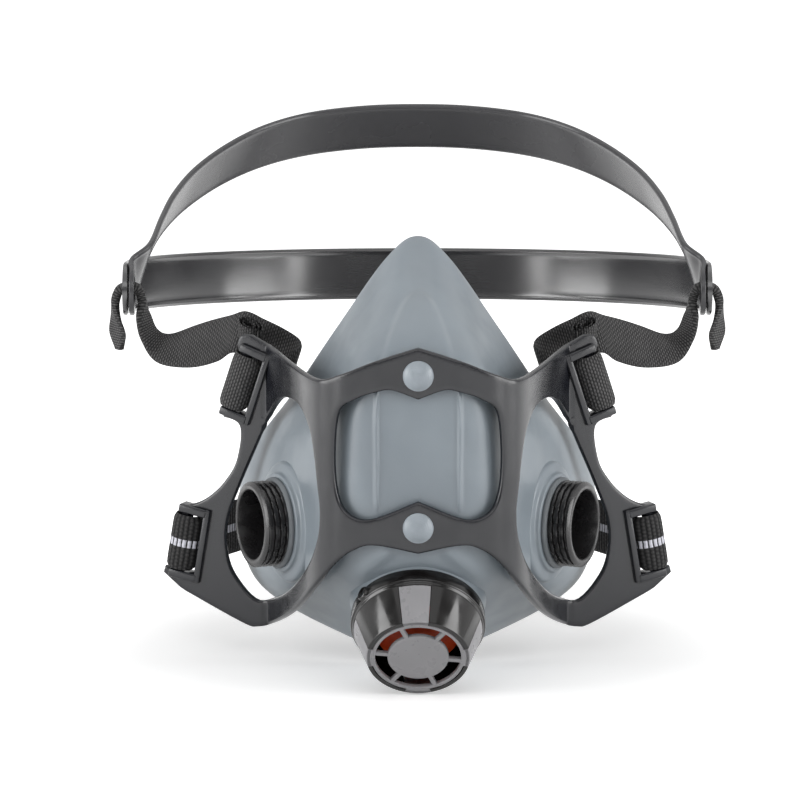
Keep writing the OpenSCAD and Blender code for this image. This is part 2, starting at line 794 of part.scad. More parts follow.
// Point by a tab: a across its bar outwards, d towards the wearer, h along the bar upwards
function by_tab(tab, a, d, h) =
    tab_place(tab) + a * tab_across(tab) + d * tab_back(tab) + h * tab_along(tab);

// Upper webbing, right side: hemmed free end, a turn round the bar, a loop behind the tab, a slack
// run to the strap ends, gathered through both eyelets, and a hanging tail
bend_room = 2.6;
tail_x = loop_half_w + strap_t / 2 + bend_room;
inside_x = crown_half_w - strap_t / 2 - bend_room;
folded_w = webbing_w - 4;
tail_t = webbing_t + 0.7;
run_start = by_tab(upper_tab, 11, 16.4, 11);
run_end = [inside_x, eyelet_y - 1.5, eyelet_z - 4.5];
function slack(share, sag) = run_start + share * (run_end - run_start) - [0, 0, sag];
function tab_knot(a, d, h, w, t) =
    knot(by_tab(upper_tab, a, d, h), tab_along(upper_tab), w, t);
upper_route = concat(
    smooth([
        tab_knot(-1.5, 12.5, 2, folded_w, hem_t - webbing_t),
        tab_knot(1, 9.6, 1.2, folded_w, webbing_t),
        tab_knot(2.8, 6.2, 0.5, webbing_w - 2, webbing_t)], 2),
    tab_wrap(upper_tab, 375, 160, 8),
    smooth([
        tab_knot(-9.5, 9.5, 3.5, folded_w, webbing_t),
        tab_knot(-12.5, 14.5, 8, folded_w, webbing_t),
        tab_knot(-10, 18, 9.5, folded_w, webbing_t),
        tab_knot(-3, 18.6, 10.5, folded_w, webbing_t),
        tab_knot(4, 18, 11, folded_w, webbing_t),
        knot(run_start, tab_along(upper_tab), folded_w + 1, webbing_t),
        knot(slack(0.17, 4.2), [-0.25, 0, 0.95], webbing_w - 2, webbing_t),
        knot(slack(0.5, 10.5), [-0.2, 0.4, 0.85], webbing_w - 3, webbing_t),
        knot(slack(0.78, 14), [-0.35, 0.55, 0.62], webbing_w - 6, webbing_t + 0.3),
        knot(slack(0.93, 11), [-0.5, 0.75, 0.25], bundle_w + 2, webbing_t + 0.8),
        knot(slack(0.99, 5), [-0.4, 0.9, 0], bundle_w + 1, bundle_t - 0.6),
        knot(run_end, [0, 1, -0.3], bundle_w, bundle_t),
        knot([inside_x + 2, eyelet_y, eyelet_z], [0, 1, 0], bundle_w, bundle_t),
        knot([tail_x - 2, eyelet_y, eyelet_z], [0, 1, 0], bundle_w, bundle_t),
        knot([tail_x, eyelet_y, eyelet_z - 4], [0, 1, 0], bundle_w, bundle_t),
        knot([tail_x, eyelet_y, eyelet_z - 10.5], [0.3, 0.95, 0], bundle_w + 2, tail_t),
        knot([tail_x - 0.6, eyelet_y - 0.5, eyelet_z - 16], [0.55, 0.83, 0], bundle_w + 2, tail_t),
        knot([tail_x - 1.2, eyelet_y - 1, eyelet_z - 21.5], [0.5, 0.85, 0], bundle_w / 2, tail_t)], 3));

// Neck strap, right side: sewn end, turn round the lower bar, run behind the facepiece
// and turn round the clasp's bar
clasp = [0, 85, -44];
clasp_bar_x = 12;
clasp_bar_r = 1.8;
clasp_wrap_r = clasp_bar_r + 0.4 + webbing_t / 2;
function clasp_wrap(from, to, count) = [
    for (i = [0:count]) let (a = from + i * (to - from) / count)
        knot(clasp + [clasp_bar_x + clasp_wrap_r * cos(a), clasp_wrap_r * sin(a), 0],
            upright, webbing_w, webbing_t)];

// Bend of the neck run: share of the way in from the tab, share of the way back, share of the rise
neck_bend = [[0.1, 0.11, 0.1], [0.19, 0.225, 0.2], [0.33, 0.425, 0.4], [0.5, 0.665, 0.6],
    [0.7, 0.845, 0.85], [0.885, 0.94, 1]];
function neck_point(share) = let (
        from = tab_place(lower_tab),
        to = clasp + [clasp_bar_x, 0, 0])
    [for (k = [0:2]) from[k] + share[k] * (to[k] - from[k])];
neck_route = concat(
    [knot(by_tab(lower_tab, 3.5, 8.5, 0), tab_along(lower_tab), webbing_w, webbing_t)],
    tab_wrap(lower_tab, 55, -185, 9),
    smooth([for (share = neck_bend) knot(neck_point(share), upright, webbing_w, webbing_t)], 3),
    clasp_wrap(-95, -268, 6),
    smooth([
        knot(clasp + [clasp_bar_x + 6.5, 2, 0], upright, webbing_w, webbing_t),
        knot(clasp + [clasp_bar_x + 14, -1.5, 0], upright, webbing_w, webbing_t)], 2));

module right_upper_webbing() { color("#3f3f42") ribbon(upper_route); }
module left_upper_webbing() { mirror([1, 0, 0]) right_upper_webbing(); }
module right_neck_webbing() { color("#1d1d1f") ribbon(neck_route); }
module left_neck_webbing() { mirror([1, 0, 0]) right_neck_webbing(); }

// Neck clasp: a hook whose tongue passes behind the loop's end bar and dips into its window

clasp_t = 3;
rail_w = 3;
rail_z = webbing_w / 2 + 0.6;
end_bar = [-2.5, -0.2];
catch_x = [1.2, 3.9];
loop_web = [4.5, 6.5];
hook_web = [-7, -4];
tongue_t = 2.2;
tongue_half_h = 7;

// Two rails and a round bar for the webbing, on the side of the clasp that bar_x lies on
module clasp_frame(bar_x, far_x) {
    low = min(bar_x, far_x) - (bar_x < far_x ? clasp_bar_r : 0);
    high = max(bar_x, far_x) + (bar_x < far_x ? 0 : clasp_bar_r);
    translate([bar_x, 0, 0]) cylinder(r = clasp_bar_r, h = 2 * rail_z + rail_w, center = true);
    for (end = [1, -1])
        translate([low, -clasp_t / 2, end > 0 ? rail_z : -rail_z - rail_w])
            cube([high - low, clasp_t, rail_w]);
}

// Upright web of the clasp between two values of x
module clasp_web(span, low_y, high_y, half_h) {
    translate([span[0], low_y, -half_h]) cube([span[1] - span[0], high_y - low_y, 2 * half_h]);
}

module neck_loop() {
    color("#2a2a2c") translate(clasp) {
        clasp_frame(clasp_bar_x, end_bar[0]);
        clasp_web(end_bar, -clasp_t / 2, clasp_t / 2, rail_z + rail_w / 2);
        clasp_web(loop_web, -clasp_t / 2, clasp_t / 2, rail_z + rail_w / 2);
    }
}

module neck_hook() {
    tongue_y = clasp_t / 2 + run_gap + 0.1;
    color("#2a2a2c") translate(clasp) {
        clasp_frame(-clasp_bar_x, hook_web[1]);
        clasp_web(hook_web, -clasp_t / 2, clasp_t / 2, rail_z + rail_w / 2);
        clasp_web([hook_web[0], hook_web[1]], 0, tongue_y + tongue_t, tongue_half_h);
        clasp_web([hook_web[0], catch_x[1]], tongue_y, tongue_y + tongue_t, tongue_half_h);
        clasp_web(catch_x, -clasp_t / 4, tongue_y + tongue_t, tongue_half_h);
    }
}

facepiece();
cradle();
upper_stud();
lower_stud();
left_connector();
right_connector();
left_port_gasket();
right_port_gasket();
left_inhalation_flap();
right_inhalation_flap();
exhalation_seat();
exhalation_flap();
valve_shroud();
valve_cage();
crown_strap();
nape_strap();
left_upper_webbing();
right_upper_webbing();
left_neck_webbing();
right_neck_webbing();
neck_hook();
neck_loop();
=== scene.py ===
import math
import bmesh
import bpy
import numpy as np
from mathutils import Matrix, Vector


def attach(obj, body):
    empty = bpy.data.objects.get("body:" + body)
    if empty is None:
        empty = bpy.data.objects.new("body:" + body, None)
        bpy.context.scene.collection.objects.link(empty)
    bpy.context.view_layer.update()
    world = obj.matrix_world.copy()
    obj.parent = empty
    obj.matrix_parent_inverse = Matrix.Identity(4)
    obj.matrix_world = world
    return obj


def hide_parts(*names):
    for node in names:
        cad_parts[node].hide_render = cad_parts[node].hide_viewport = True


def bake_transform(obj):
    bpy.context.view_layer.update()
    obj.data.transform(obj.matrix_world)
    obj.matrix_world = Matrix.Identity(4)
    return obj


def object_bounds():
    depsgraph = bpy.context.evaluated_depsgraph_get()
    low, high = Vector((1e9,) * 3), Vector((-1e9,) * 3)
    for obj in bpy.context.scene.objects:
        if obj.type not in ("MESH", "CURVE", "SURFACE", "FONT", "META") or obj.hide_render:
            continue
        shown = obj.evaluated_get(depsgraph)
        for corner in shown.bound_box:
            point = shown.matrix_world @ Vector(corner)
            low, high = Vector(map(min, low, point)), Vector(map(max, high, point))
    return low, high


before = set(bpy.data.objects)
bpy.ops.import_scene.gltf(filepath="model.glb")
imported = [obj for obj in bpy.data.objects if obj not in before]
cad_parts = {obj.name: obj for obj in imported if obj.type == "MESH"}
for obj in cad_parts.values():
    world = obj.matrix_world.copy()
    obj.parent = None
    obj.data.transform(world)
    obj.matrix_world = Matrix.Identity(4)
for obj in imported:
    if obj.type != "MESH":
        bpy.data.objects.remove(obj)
cad_low, cad_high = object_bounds()

# The view. The mask faces the camera from two metres off, seen from ten degrees above,
# through a long lens that keeps both straps and both tabs nearly parallel.
MM = 0.001
view_dip = math.radians(10)
aim = np.array([-6.12, -40.0, 13.39])
camera_distance = 2000.0
frame_width = 272.0
sensor_width = 36.0
forward = np.array([0, math.cos(view_dip), -math.sin(view_dip)])
camera_data = bpy.data.cameras.new("camera")
camera_data.sensor_width = sensor_width
camera_data.lens = sensor_width * camera_distance / frame_width
camera_data.clip_end = 100


def linked(name, data):
    """New object in the scene."""
    made = bpy.data.objects.new(name, data)
    bpy.context.scene.collection.objects.link(made)
    return made


camera = linked("camera", camera_data)
camera.location = (aim - camera_distance * forward) * MM
camera.rotation_euler = (math.pi / 2 - view_dip, 0, 0)
bpy.context.scene.camera = camera
bpy.context.scene.view_settings.view_transform = "Standard"


# The setting. A white floor that keeps the mask's shadow, a white room, a softbox at each side, a weak one
# in front and a broad weak one overhead.
class Socket:
    """One output in a node tree. Arithmetic on it adds Math nodes."""

    def __init__(self, finish, output):
        self.finish = finish
        self.output = output

    def math(self, operation, other=0.0):
        return self.finish.node("ShaderNodeMath", {"operation": operation}, {0: self, 1: other})

    def __add__(self, other):
        return self.math("ADD", other)

    def __sub__(self, other):
        return self.math("SUBTRACT", other)

    def __mul__(self, other):
        return self.math("MULTIPLY", other)


class Finish:
    """A node tree that is built up from nodes, and ends in one shader."""

    def __init__(self, owner):
        owner.use_nodes = True
        self.owner = owner
        self.tree = owner.node_tree

    def node(self, kind, settings=None, sockets=None, output=0):
        """Adds a node, sets its settings first and then its sockets, and gives one output."""
        made = self.tree.nodes.new(kind)
        for name, value in (settings or {}).items():
            setattr(made, name, value)
        self.feed(made, sockets or {})
        return Socket(self, made.outputs[output])

    def feed(self, made, sockets):
        for name, value in sockets.items():
            if isinstance(value, Socket):
                self.tree.links.new(value.output, made.inputs[name])
            else:
                made.inputs[name].default_value = value

    def part(self, vector, name):
        """One component of a vector."""
        return self.node("ShaderNodeSeparateXYZ", {}, {0: vector}, name)

    def vector_math(self, operation, *vectors):
        output = "Value" if operation == "LENGTH" else "Vector"
        return self.node("ShaderNodeVectorMath", {"operation": operation}, dict(enumerate(vectors)), output)

    def mix(self, factor, first, second):
        """Colour between two colours by a factor."""
        return self.node("ShaderNodeMix", {"data_type": "RGBA"}, {0: factor, 6: first, 7: second}, 2)

    def between(self, value, low, high, to_low=0.0, to_high=1.0):
        """Value carried from one range to another, eased and kept inside it."""
        settings = {"interpolation_type": "SMOOTHSTEP"}
        sockets = {0: value, 1: low, 2: high, 3: to_low, 4: to_high}
        return self.node("ShaderNodeMapRange", settings, sockets)

    def noise(self, place, scale, detail=2.0):
        """Soft noise between 0 and 1 at a place, with scale in cells per metre."""
        return self.node("ShaderNodeTexNoise", {}, {"Vector": place, "Scale": scale, "Detail": detail})

    def bump(self, height, distance, strength=1.0):
        sockets = {"Height": height, "Distance": distance, "Strength": strength}
        return self.node("ShaderNodeBump", {}, sockets)

    def place(self):
        return self.node("ShaderNodeTexCoord", output=3)

    def shader(self, **sockets):
        """Sets the sockets of the material's own shader, named with _ for a space."""
        surface = self.tree.nodes["Principled BSDF"]
        self.feed(surface, {name.replace("_", " "): value for name, value in sockets.items()})
        return self.owner


def seen_directly(finish, mirrored=1.0):
    """1 for rays from the camera, a given value from a mirror finish or through glass, and 0 for the rest."""
    kinds = ("Is Camera Ray", "Is Glossy Ray", "Is Transmission Ray")
    camera_ray, glossy_ray, glass_ray = (finish.node("ShaderNodeLightPath", output=kind) for kind in kinds)
    return camera_ray.math("MAXIMUM", glossy_ray.math("MAXIMUM", glass_ray) * mirrored)


room_light = 0.06
front_room = 0.3
front_fade = (-0.25, 0.1)
room = bpy.data.worlds.new("room")
bpy.context.scene.world = room
room_finish = Finish(room)
room_depth = room_finish.part(room_finish.node("ShaderNodeTexCoord"), "Y")
backdrop = room_finish.between(room_depth, *front_fade, front_room, 1.0)
seen = seen_directly(room_finish, backdrop)
room_shader = room_finish.tree.nodes["Background"]
room_finish.feed(room_shader, {"Color": (1, 1, 1, 1), "Strength": seen * (1 - room_light) + room_light})

floor_half = 12.0
floor_glow = 0.31
floor_white = 0.95
shadow_reach = (0.11, 0.24)
floor_gap = 0.5 * MM
floor_z = cad_low.z - floor_gap
floor_corners = [(x * floor_half, y * floor_half, floor_z) for x, y in ((-1, -1), (1, -1), (1, 1), (-1, 1))]
floor_mesh = bpy.data.meshes.new("floor")
floor_mesh.from_pydata(floor_corners, [], [(0, 1, 2, 3)])
floor = linked("floor", floor_mesh)
floor_finish = Finish(bpy.data.materials.new("white_floor"))
floor_radius = floor_finish.vector_math("LENGTH", floor_finish.place())
glow = seen_directly(floor_finish) * floor_finish.between(floor_radius, *shadow_reach, floor_glow, 1.0)
floor_mesh.materials.append(floor_finish.shader(
    Base_Color=(floor_white, floor_white, floor_white, 1), Roughness=1.0, Specular_IOR_Level=0.0,
    Emission_Color=glow, Emission_Strength=1.0))
lamp_distance = 1.2


def softbox(name, azimuth, elevation, width, height, radiance):
    """Area light aimed at the mask; azimuth 0 is the camera's side, in degrees, sizes in metres."""
    a, e = math.radians(azimuth), math.radians(elevation)
    way = np.array([math.sin(a) * math.cos(e), -math.cos(a) * math.cos(e), math.sin(e)])
    data = bpy.data.lights.new(name, "AREA")
    data.shape = "RECTANGLE"
    data.size = width
    data.size_y = height
    data.energy = radiance * math.pi * width * height
    lamp = linked(name, data)
    lamp.location = aim * MM + lamp_distance * way
    lamp.rotation_euler = (math.pi / 2 - e, 0, a)


softbox("left_side", -72, 8, 0.85, 0.9, 6.2)
softbox("right_side", 72, 8, 0.85, 0.9, 6.0)
softbox("front_fill", 0, 32, 0.9, 0.5, 2.2)
softbox("overhead", 0, 84, 2.0, 2.0, 0.8)


# Facepiece: one soft moulding of grey-blue rubber, a thin wall with a turned-in sealing lip, raised
# collars for the filter connectors, a boss for the valve and two fine ribs down the front panel.
seal_half_w = 64.0
seal_top = 67.0
seal_bottom = 84.0
panel_y = -62.0
panel_half_w = 14.0
wall = 2.6
lip_w = 12.0
stud_z = 26.0
shoulder_weight = 2.6
face_middle_z = -10.0
seal_rail = np.array([
    [0, -12, 1], [0.172, -10, 0.88], [0.453, -1, 0.478], [0.703, 9, 0.104], [0.922, 17, -0.167],
    [1, 21, -0.429], [0.891, 12, -0.726], [0.422, -3, -0.911], [0, -8, -1]])
seal_rail[:, 0] *= seal_half_w
seal_rail[:, 2] *= np.where(seal_rail[:, 2] > 0, seal_top, seal_bottom)
panel_top = np.array([panel_half_w, panel_y, stud_z])
panel_foot = np.array([panel_half_w, panel_y, -stud_z])
shoulder_rail = np.vstack([
    [0, panel_y + 3, stud_z + 12],
    panel_top + [[-5, 3, 11], [7, 4, 4], [12, 2, -12]],
    [panel_half_w + 13.5, panel_y + 1.5, -6],
    panel_foot + [[15, 2, 0], [14, 5, -17], [1, 4, -25]],
    [0, panel_y + 4, -stud_z - 26]])
panel_rail = np.vstack([
    [0, panel_y, stud_z + 5],
    panel_top + [[-9, 0, 5], [-2, 0, 2]],
    [[panel_half_w, panel_y, stud_z / 2], [panel_half_w, panel_y, -4]],
    panel_foot + [[0, 0, 7], [-2, 0, -5], [-9, 0, -8]],
    [0, panel_y, -stud_z - 8]])
half_turn = len(seal_rail) - 1
whole_turn = 2 * half_turn


def unit(v):
    return v / np.linalg.norm(v, axis=-1, keepdims=True)


def ease(x, low, high):
    """0 below low, 1 above high and a smooth step between."""
    t = np.clip((x - low) / (high - low), 0, 1)
    return t * t * (3 - 2 * t)


def spline(knots, at):
    """Catmull-Rom curve through the knots at the given positions, with one spare knot at each end."""
    i = np.clip(np.floor(at).astype(int), 0, len(knots) - 4)
    a, b, c, d = (knots[i + k] for k in range(4))
    t = (at - i)[..., None]
    return 0.5 * (2 * b + (c - a) * t + (2 * a - 5 * b + 4 * c - d) * t**2 + (3 * b - a - 3 * c + d) * t**3)


def along_rail(rail, turn):
    """Point of a rail at a place round the mask: 0 at the nose, half_turn at the chin, then up the left."""
    turn = np.asarray(turn, float) % whole_turn
    left = turn > half_turn
    u = np.where(left, whole_turn - turn, turn)
    mirror = np.array([-1, 1, 1])
    points = spline(np.vstack([rail[1] * mirror, rail, rail[-2] * mirror]), u)
    points[..., 0] = np.where(left, -points[..., 0], points[..., 0])
    return points


def form(turn, t):
    """Facepiece form: a rational conic from the panel's edge, t = 0, over the shoulder to the seal, t = 1."""
    turn, t = np.broadcast_arrays(np.asarray(turn, float), np.asarray(t, float))
    a, b, c = (1 - t)**2, 2 * shoulder_weight * t * (1 - t), t**2
    rails = (along_rail(rail, turn) for rail in (panel_rail, shoulder_rail, seal_rail))
    return sum(w[..., None] * r for w, r in zip((a, b, c), rails)) / (a + b + c)[..., None]


def form_normal(turn, t):
    """Outward normal of the form, from small steps round it and across it."""
    step = 0.002
    t = np.asarray(t, float)
    around = form(turn + step, t) - form(turn - step, t)
    across = form(turn, np.minimum(t + step, 1)) - form(turn, np.maximum(t - step, 0))
    return unit(np.cross(around, across))


def grid_faces(rows, columns, close_rows=False):
    """Quads of a grid of points numbered row by row: each row is a loop, and the rows too where asked."""
    i = np.arange(rows if close_rows else rows - 1)[:, None]
    j = np.arange(columns)[None, :]
    i_next, j_next = (i + 1) % rows, (j + 1) % columns
    corners = (i * columns + j, i * columns + j_next, i_next * columns + j_next, i_next * columns + j)
    return np.stack(np.broadcast_arrays(*corners), -1).reshape(-1, 4)


sharp_edge = 35.0
weld_gap = 0.002 * MM


def put(name, points, faces, finish, uv=None, sharp=sharp_edge):
    """New piece from points in millimetres and quads; corners that meet are welded, faces turn outwards."""
    mesh = bpy.data.meshes.new(name)
    points = np.asarray(points, float).reshape(-1, 3)
    faces = np.asarray(faces)
    mesh.from_pydata(points * MM, [], faces)
    if uv is not None:
        layer = mesh.uv_layers.new(name="weave")
        layer.data.foreach_set("uv", np.asarray(uv, float).reshape(-1, 2)[faces.ravel()].ravel())
    edit = bmesh.new()
    edit.from_mesh(mesh)
    bmesh.ops.remove_doubles(edit, verts=edit.verts, dist=weld_gap)
    bmesh.ops.dissolve_degenerate(edit, edges=edit.edges, dist=weld_gap / 2)
    bmesh.ops.recalc_face_normals(edit, faces=edit.faces)
    edit.to_mesh(mesh)
    edit.free()
    mesh.shade_smooth()
    mesh.set_sharp_from_angle(angle=math.radians(sharp))
    mesh.materials.append(finish)
    return linked(name, mesh)


def fix(piece, body, slot, *stands_for):
    """The piece moves with a body and stands for these solids. The slot argument is not used."""
    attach(piece, body)
    if stands_for:
        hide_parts(*stands_for)


def bend(t, start, corner, end):
    """Quadratic arc from start to end with its tangents meeting in the corner, for t from 0 to 1."""
    return (1 - t)**2 * start + 2 * t * (1 - t) * corner + t**2 * end


def turned(profile, place, axes, steps=96, closed=True):
    """Points and quads of a profile of [radius, height] pairs spun round the third axis at a place."""
    profile = np.asarray(profile, float)
    angle = np.arange(steps) * 2 * math.pi / steps
    ring = np.stack([np.cos(angle), np.sin(angle)], -1)
    local = np.concatenate([
        profile[:, None, :1] * ring[None],
        np.broadcast_to(profile[:, None, 1:], (len(profile), steps, 1))], -1)
    return (place + local @ axes).reshape(-1, 3), grid_faces(len(profile), steps, closed)


def oblong(near, far, low, high):
    """Corners of a section between two radii and two heights."""
    return [[near, low], [far, low], [far, high], [near, high]]


def rounded(corners, radius, steps=4):
    """Closed outline with each corner rounded by a quadratic arc of about the given radius."""
    corners = np.asarray(corners, float)
    before, after = np.roll(corners, 1, 0) - corners, np.roll(corners, -1, 0) - corners
    room = np.minimum(np.linalg.norm(before, axis=1), np.linalg.norm(after, axis=1))[:, None] * 0.45
    reach = np.minimum(radius, room)
    start, end = corners + unit(before) * reach, corners + unit(after) * reach
    t = np.linspace(0, 1, steps + 1)[None, :, None]
    return bend(t, start[:, None], corners[:, None], end[:, None]).reshape(-1, 2)


def spun(name, profile, place, axes, finish, steps=96):
    """Piece made by spinning a closed profile round an axis."""
    return put(name, *turned(profile, place, axes, steps), finish)


def cut(piece, place, axes, radius, low, high, steps=96):
    """Round hole through a piece along the third axis, from low to high."""
    tool = spun("hole", oblong(0, radius, low, high), place, axes, None, steps)
    subtract = piece.modifiers.new("hole", "BOOLEAN")
    subtract.operation = "DIFFERENCE"
    subtract.solver = "MANIFOLD"
    subtract.object = tool
    graph = bpy.context.evaluated_depsgraph_get()
    holed = bpy.data.meshes.new_from_object(piece.evaluated_get(graph))
    piece.modifiers.clear()
    piece.data = holed
    bpy.data.objects.remove(tool)
    holed.set_sharp_from_angle(angle=math.radians(sharp_edge))


def axes_on(direction, upright=(0, 0, 1)):
    """Three axes as rows, the third along a direction and the second as near upright as it can be."""
    z = unit(np.asarray(direction, float))
    x = unit(np.cross(np.asarray(upright, float), z))
    return np.stack([x, np.cross(z, x), z])


def moulded_finish(name, colour, dark, roughness, mottle, grain, relief=0.25):
    """Moulded rubber or plastic: cloudy colour, patchy sheen and a fine skin."""
    finish = Finish(bpy.data.materials.new(name))
    place = finish.place()
    cloud = finish.noise(place, mottle, 3.0)
    smear = finish.noise(place, mottle * 2.7, 2.0)
    skin = finish.noise(place, grain, 3.0)
    return finish.shader(
        Base_Color=finish.mix(finish.between(cloud, 0.3, 0.7), (*dark, 1), (*colour, 1)),
        Roughness=finish.between(smear, 0.3, 0.7, roughness - 0.05, roughness + 0.06),
        Normal=finish.bump(skin, 0.00012, relief))


face_rubber = moulded_finish("face_rubber", (0.208, 0.240, 0.266), (0.178, 0.206, 0.230), 0.33, 35.0, 1500.0)

columns = 480
turn = np.arange(columns) * whole_turn / columns
panel_rows = np.concatenate([np.linspace(0.04, 0.84, 14), np.linspace(0.86, 0.985, 12)])
form_rows = np.concatenate([
    np.linspace(0, 0.05, 11), np.linspace(0.06, 0.9, 78), np.linspace(0.906, 0.975, 12)])
rib_h = 0.75
rib_w = 0.85
rib_end_z = 20.0
bell_h = 1.5
bell_low_z = 30.0
bell_tall = 22.0
bell_half_w = 12.4
crease_from = np.array([10.5, -35.0])
crease_to = np.array([24.0, -46.5])
crease_h = 1.0
crease_w = 2.6
front_reach = (30, 40)


def raised(points, rail_distance):
    """Height that the mould adds to the form: panel ribs, the bell under the nose and the chin creases."""
    x, z = np.abs(points[..., 0]), points[..., 2]
    front = ease(-points[..., 1], *front_reach)
    rib = rib_h * np.exp(-(rail_distance / rib_w)**2)
    rib = rib * ease(rib_end_z - np.abs(z), -2, 2) * ease(x, panel_half_w - 1.2, panel_half_w - 0.4)
    taper = np.clip(1 - (z - bell_low_z) / bell_tall, 1e-6, 1.4)**0.6
    bell = bell_h * ease(bell_half_w * taper - x, -1.5, 2.5)
    bell = bell * ease(z, bell_low_z - 6, bell_low_z + 3) * ease(bell_low_z + bell_tall - z, -1, 6)
    run = crease_to - crease_from
    flat = np.stack([x, z], -1) - crease_from
    share = np.clip(flat @ run / (run @ run), 0, 1)
    off = np.linalg.norm(flat - share[..., None] * run, axis=-1)
    crease = crease_h * np.exp(-(off / crease_w)**2) * (1 - 0.7 * share)
    return front * (rib + bell + crease)


edge = along_rail(panel_rail, turn)
middle = np.array([0, panel_y, 0])
panel = middle + panel_rows[:, None, None] * (edge - middle)
panel_up = raised(panel, np.linalg.norm(panel - edge, axis=-1))
panel = panel - panel_up[..., None] * np.array([0, 1, 0])
outer = form(turn[None], form_rows[:, None])
outward = form_normal(turn[None], form_rows[:, None])
outer = outer + raised(outer, np.linalg.norm(outer - edge, axis=-1))[..., None] * outward

seal = along_rail(seal_rail, turn)
inward = unit(np.stack([-seal[:, 0], 0 * turn, face_middle_z - seal[:, 2]], -1))
lip_t = 1.2
lip_rows = np.linspace(0.16, 0.97, 10)[:, None, None]
lip_crown = 0.5
lip_fall = np.array([0, 1.0, 0])
lip_back = seal + lip_rows * (lip_w * inward - lip_fall)
lip_back = lip_back + lip_crown * np.sin(math.pi * lip_rows) * np.array([0, 1, 0])
bend_t = np.linspace(0, 1, 8)[1:-1, None, None]
seal_bend = bend(bend_t, outer[-1], seal, lip_back[0])
lip_tip = seal + lip_w * inward - lip_fall - [0, lip_t / 2, 0]
lip_front = lip_back[::-1] - [0, lip_t, 0]
inner_t = np.concatenate([np.linspace(0.955, 0.1, 40), np.linspace(0.08, 0, 4)])[:, None]
inner = form(turn[None], inner_t) - wall * form_normal(turn[None], inner_t)
root = seal + wall * 0.9 * inward - [0, wall * 0.9, 0]
root_bend = bend(bend_t, lip_front[-1], root, inner[0])
inside_middle = middle + [0, wall, 0]
inner_panel = inside_middle + np.linspace(0.85, 0.05, 6)[:, None, None] * (inner[-1] - inside_middle)
pole = np.ones((1, columns, 1))
skin = np.concatenate([
    pole * middle, panel, outer, seal_bend, lip_back, lip_tip[None], lip_front, root_bend, inner,
    inner_panel, pole * inside_middle])
facepiece = put("facepiece_moulding", skin, grid_faces(len(skin), columns), face_rubber)

fit_gap = 0.1
collar_r = 17.0
collar_h = 2.0
port_turn = 5.1
port_t = 0.85
neck_r = 13.6
port_axis = form_normal(port_turn, port_t)
port_place = form(port_turn, port_t) + collar_h * port_axis
mirror_x = np.array([-1.0, 1.0, 1.0])
mirrors = {"right": np.ones(3), "left": mirror_x}
ports = {side: (port_place * mirror, axes_on(port_axis * mirror)) for side, mirror in mirrors.items()}
port_web = collar_h + wall - 0.4
for place, axes in ports.values():
    cut(facepiece, place, axes, neck_r + fit_gap, -20, 20)

valve_dip = math.radians(34)
valve_axis = np.array([0, -math.cos(valve_dip), -math.sin(valve_dip)])
valve_place = form(half_turn, 0.62) + 2.8 * valve_axis
valve_axes = axes_on(valve_axis)
seat_barrel_r = 16.3
cut(facepiece, valve_place, valve_axes, seat_barrel_r + fit_gap, -30, 20)
stud_places = [np.array([0, panel_y, z]) for z in (stud_z, -stud_z)]
stud_axes = axes_on((0, -1, 0))
stud_hole_r = 2.6
for place in stud_places:
    cut(facepiece, place, stud_axes, stud_hole_r, -10, 10)
fix(facepiece, "mask", "facepiece_rubber", "facepiece")

collar = rounded([
    [neck_r + fit_gap, -port_web], [collar_r + 4.5, -port_web], [collar_r + 3.2, -collar_h - 0.2],
    [collar_r + 0.4, -collar_h + 0.5], [collar_r, 0], [neck_r + fit_gap, 0]], 0.9)
for side, (place, axes) in ports.items():
    fix(spun(f"facepiece_{side}_collar", collar, place, axes, face_rubber), "mask", "facepiece_rubber")
boss_r = 21.5
boss = rounded([
    [seat_barrel_r + fit_gap, -6], [boss_r - 1, -6], [boss_r + 2, -7.5], [boss_r + 0.3, -2.6], [boss_r, 0],
    [seat_barrel_r + fit_gap, 0]], 0.8)
fix(spun("facepiece_valve_boss", boss, valve_place, valve_axes, face_rubber), "mask", "facepiece_rubber")


# Cradle: one moulded sheet of dark grey plastic, bent round the facepiece and flared at the sides. The
# studs hold it in front, and each of its four tabs carries a round bar between two lugs for the webbing.
cradle_t = 2.4
pad_h = 1.0
bar_r = 2.2
webbing_w = 19.0
flare_slope = math.radians(21.7)
flare_x = seal_half_w - 11
flare_y = -1.5
flare_reach = 45.0
cradle_mid_y = panel_y - pad_h - cradle_t / 2
cradle_edge_r = 0.85
slot_w = 4.6
slot_len = webbing_w + 1.6
lug_h = 3.0
lug_depth = 2 * bar_r + 1.6
lug_over = 0.4
tab_rib_w = 2.4
tab_rib_h = 1.5
upper_tab = np.array([flare_x + 9, stud_z - 13, math.radians(19)])
lower_tab = np.array([flare_x + 29, stud_z - 71.2, math.radians(10)])


def smooth_line(points, steps):
    """Smooth open line through points, with so many steps between each two."""
    points = np.asarray(points, float)
    knots = np.vstack([points[:1], points, points[-1:]])
    return spline(knots, np.linspace(0, len(points) - 1, steps * (len(points) - 1) + 1))


def smooth_loop(points, steps):
    points = np.asarray(points, float)
    knots = np.vstack([points[-1:], points, points[:2]])
    return spline(knots, np.arange(len(points) * steps) / steps)


def lengths(points):
    """Distance along a line of points, from its first one."""
    return np.concatenate([[0], np.cumsum(np.linalg.norm(np.diff(points, axis=0), axis=1))])


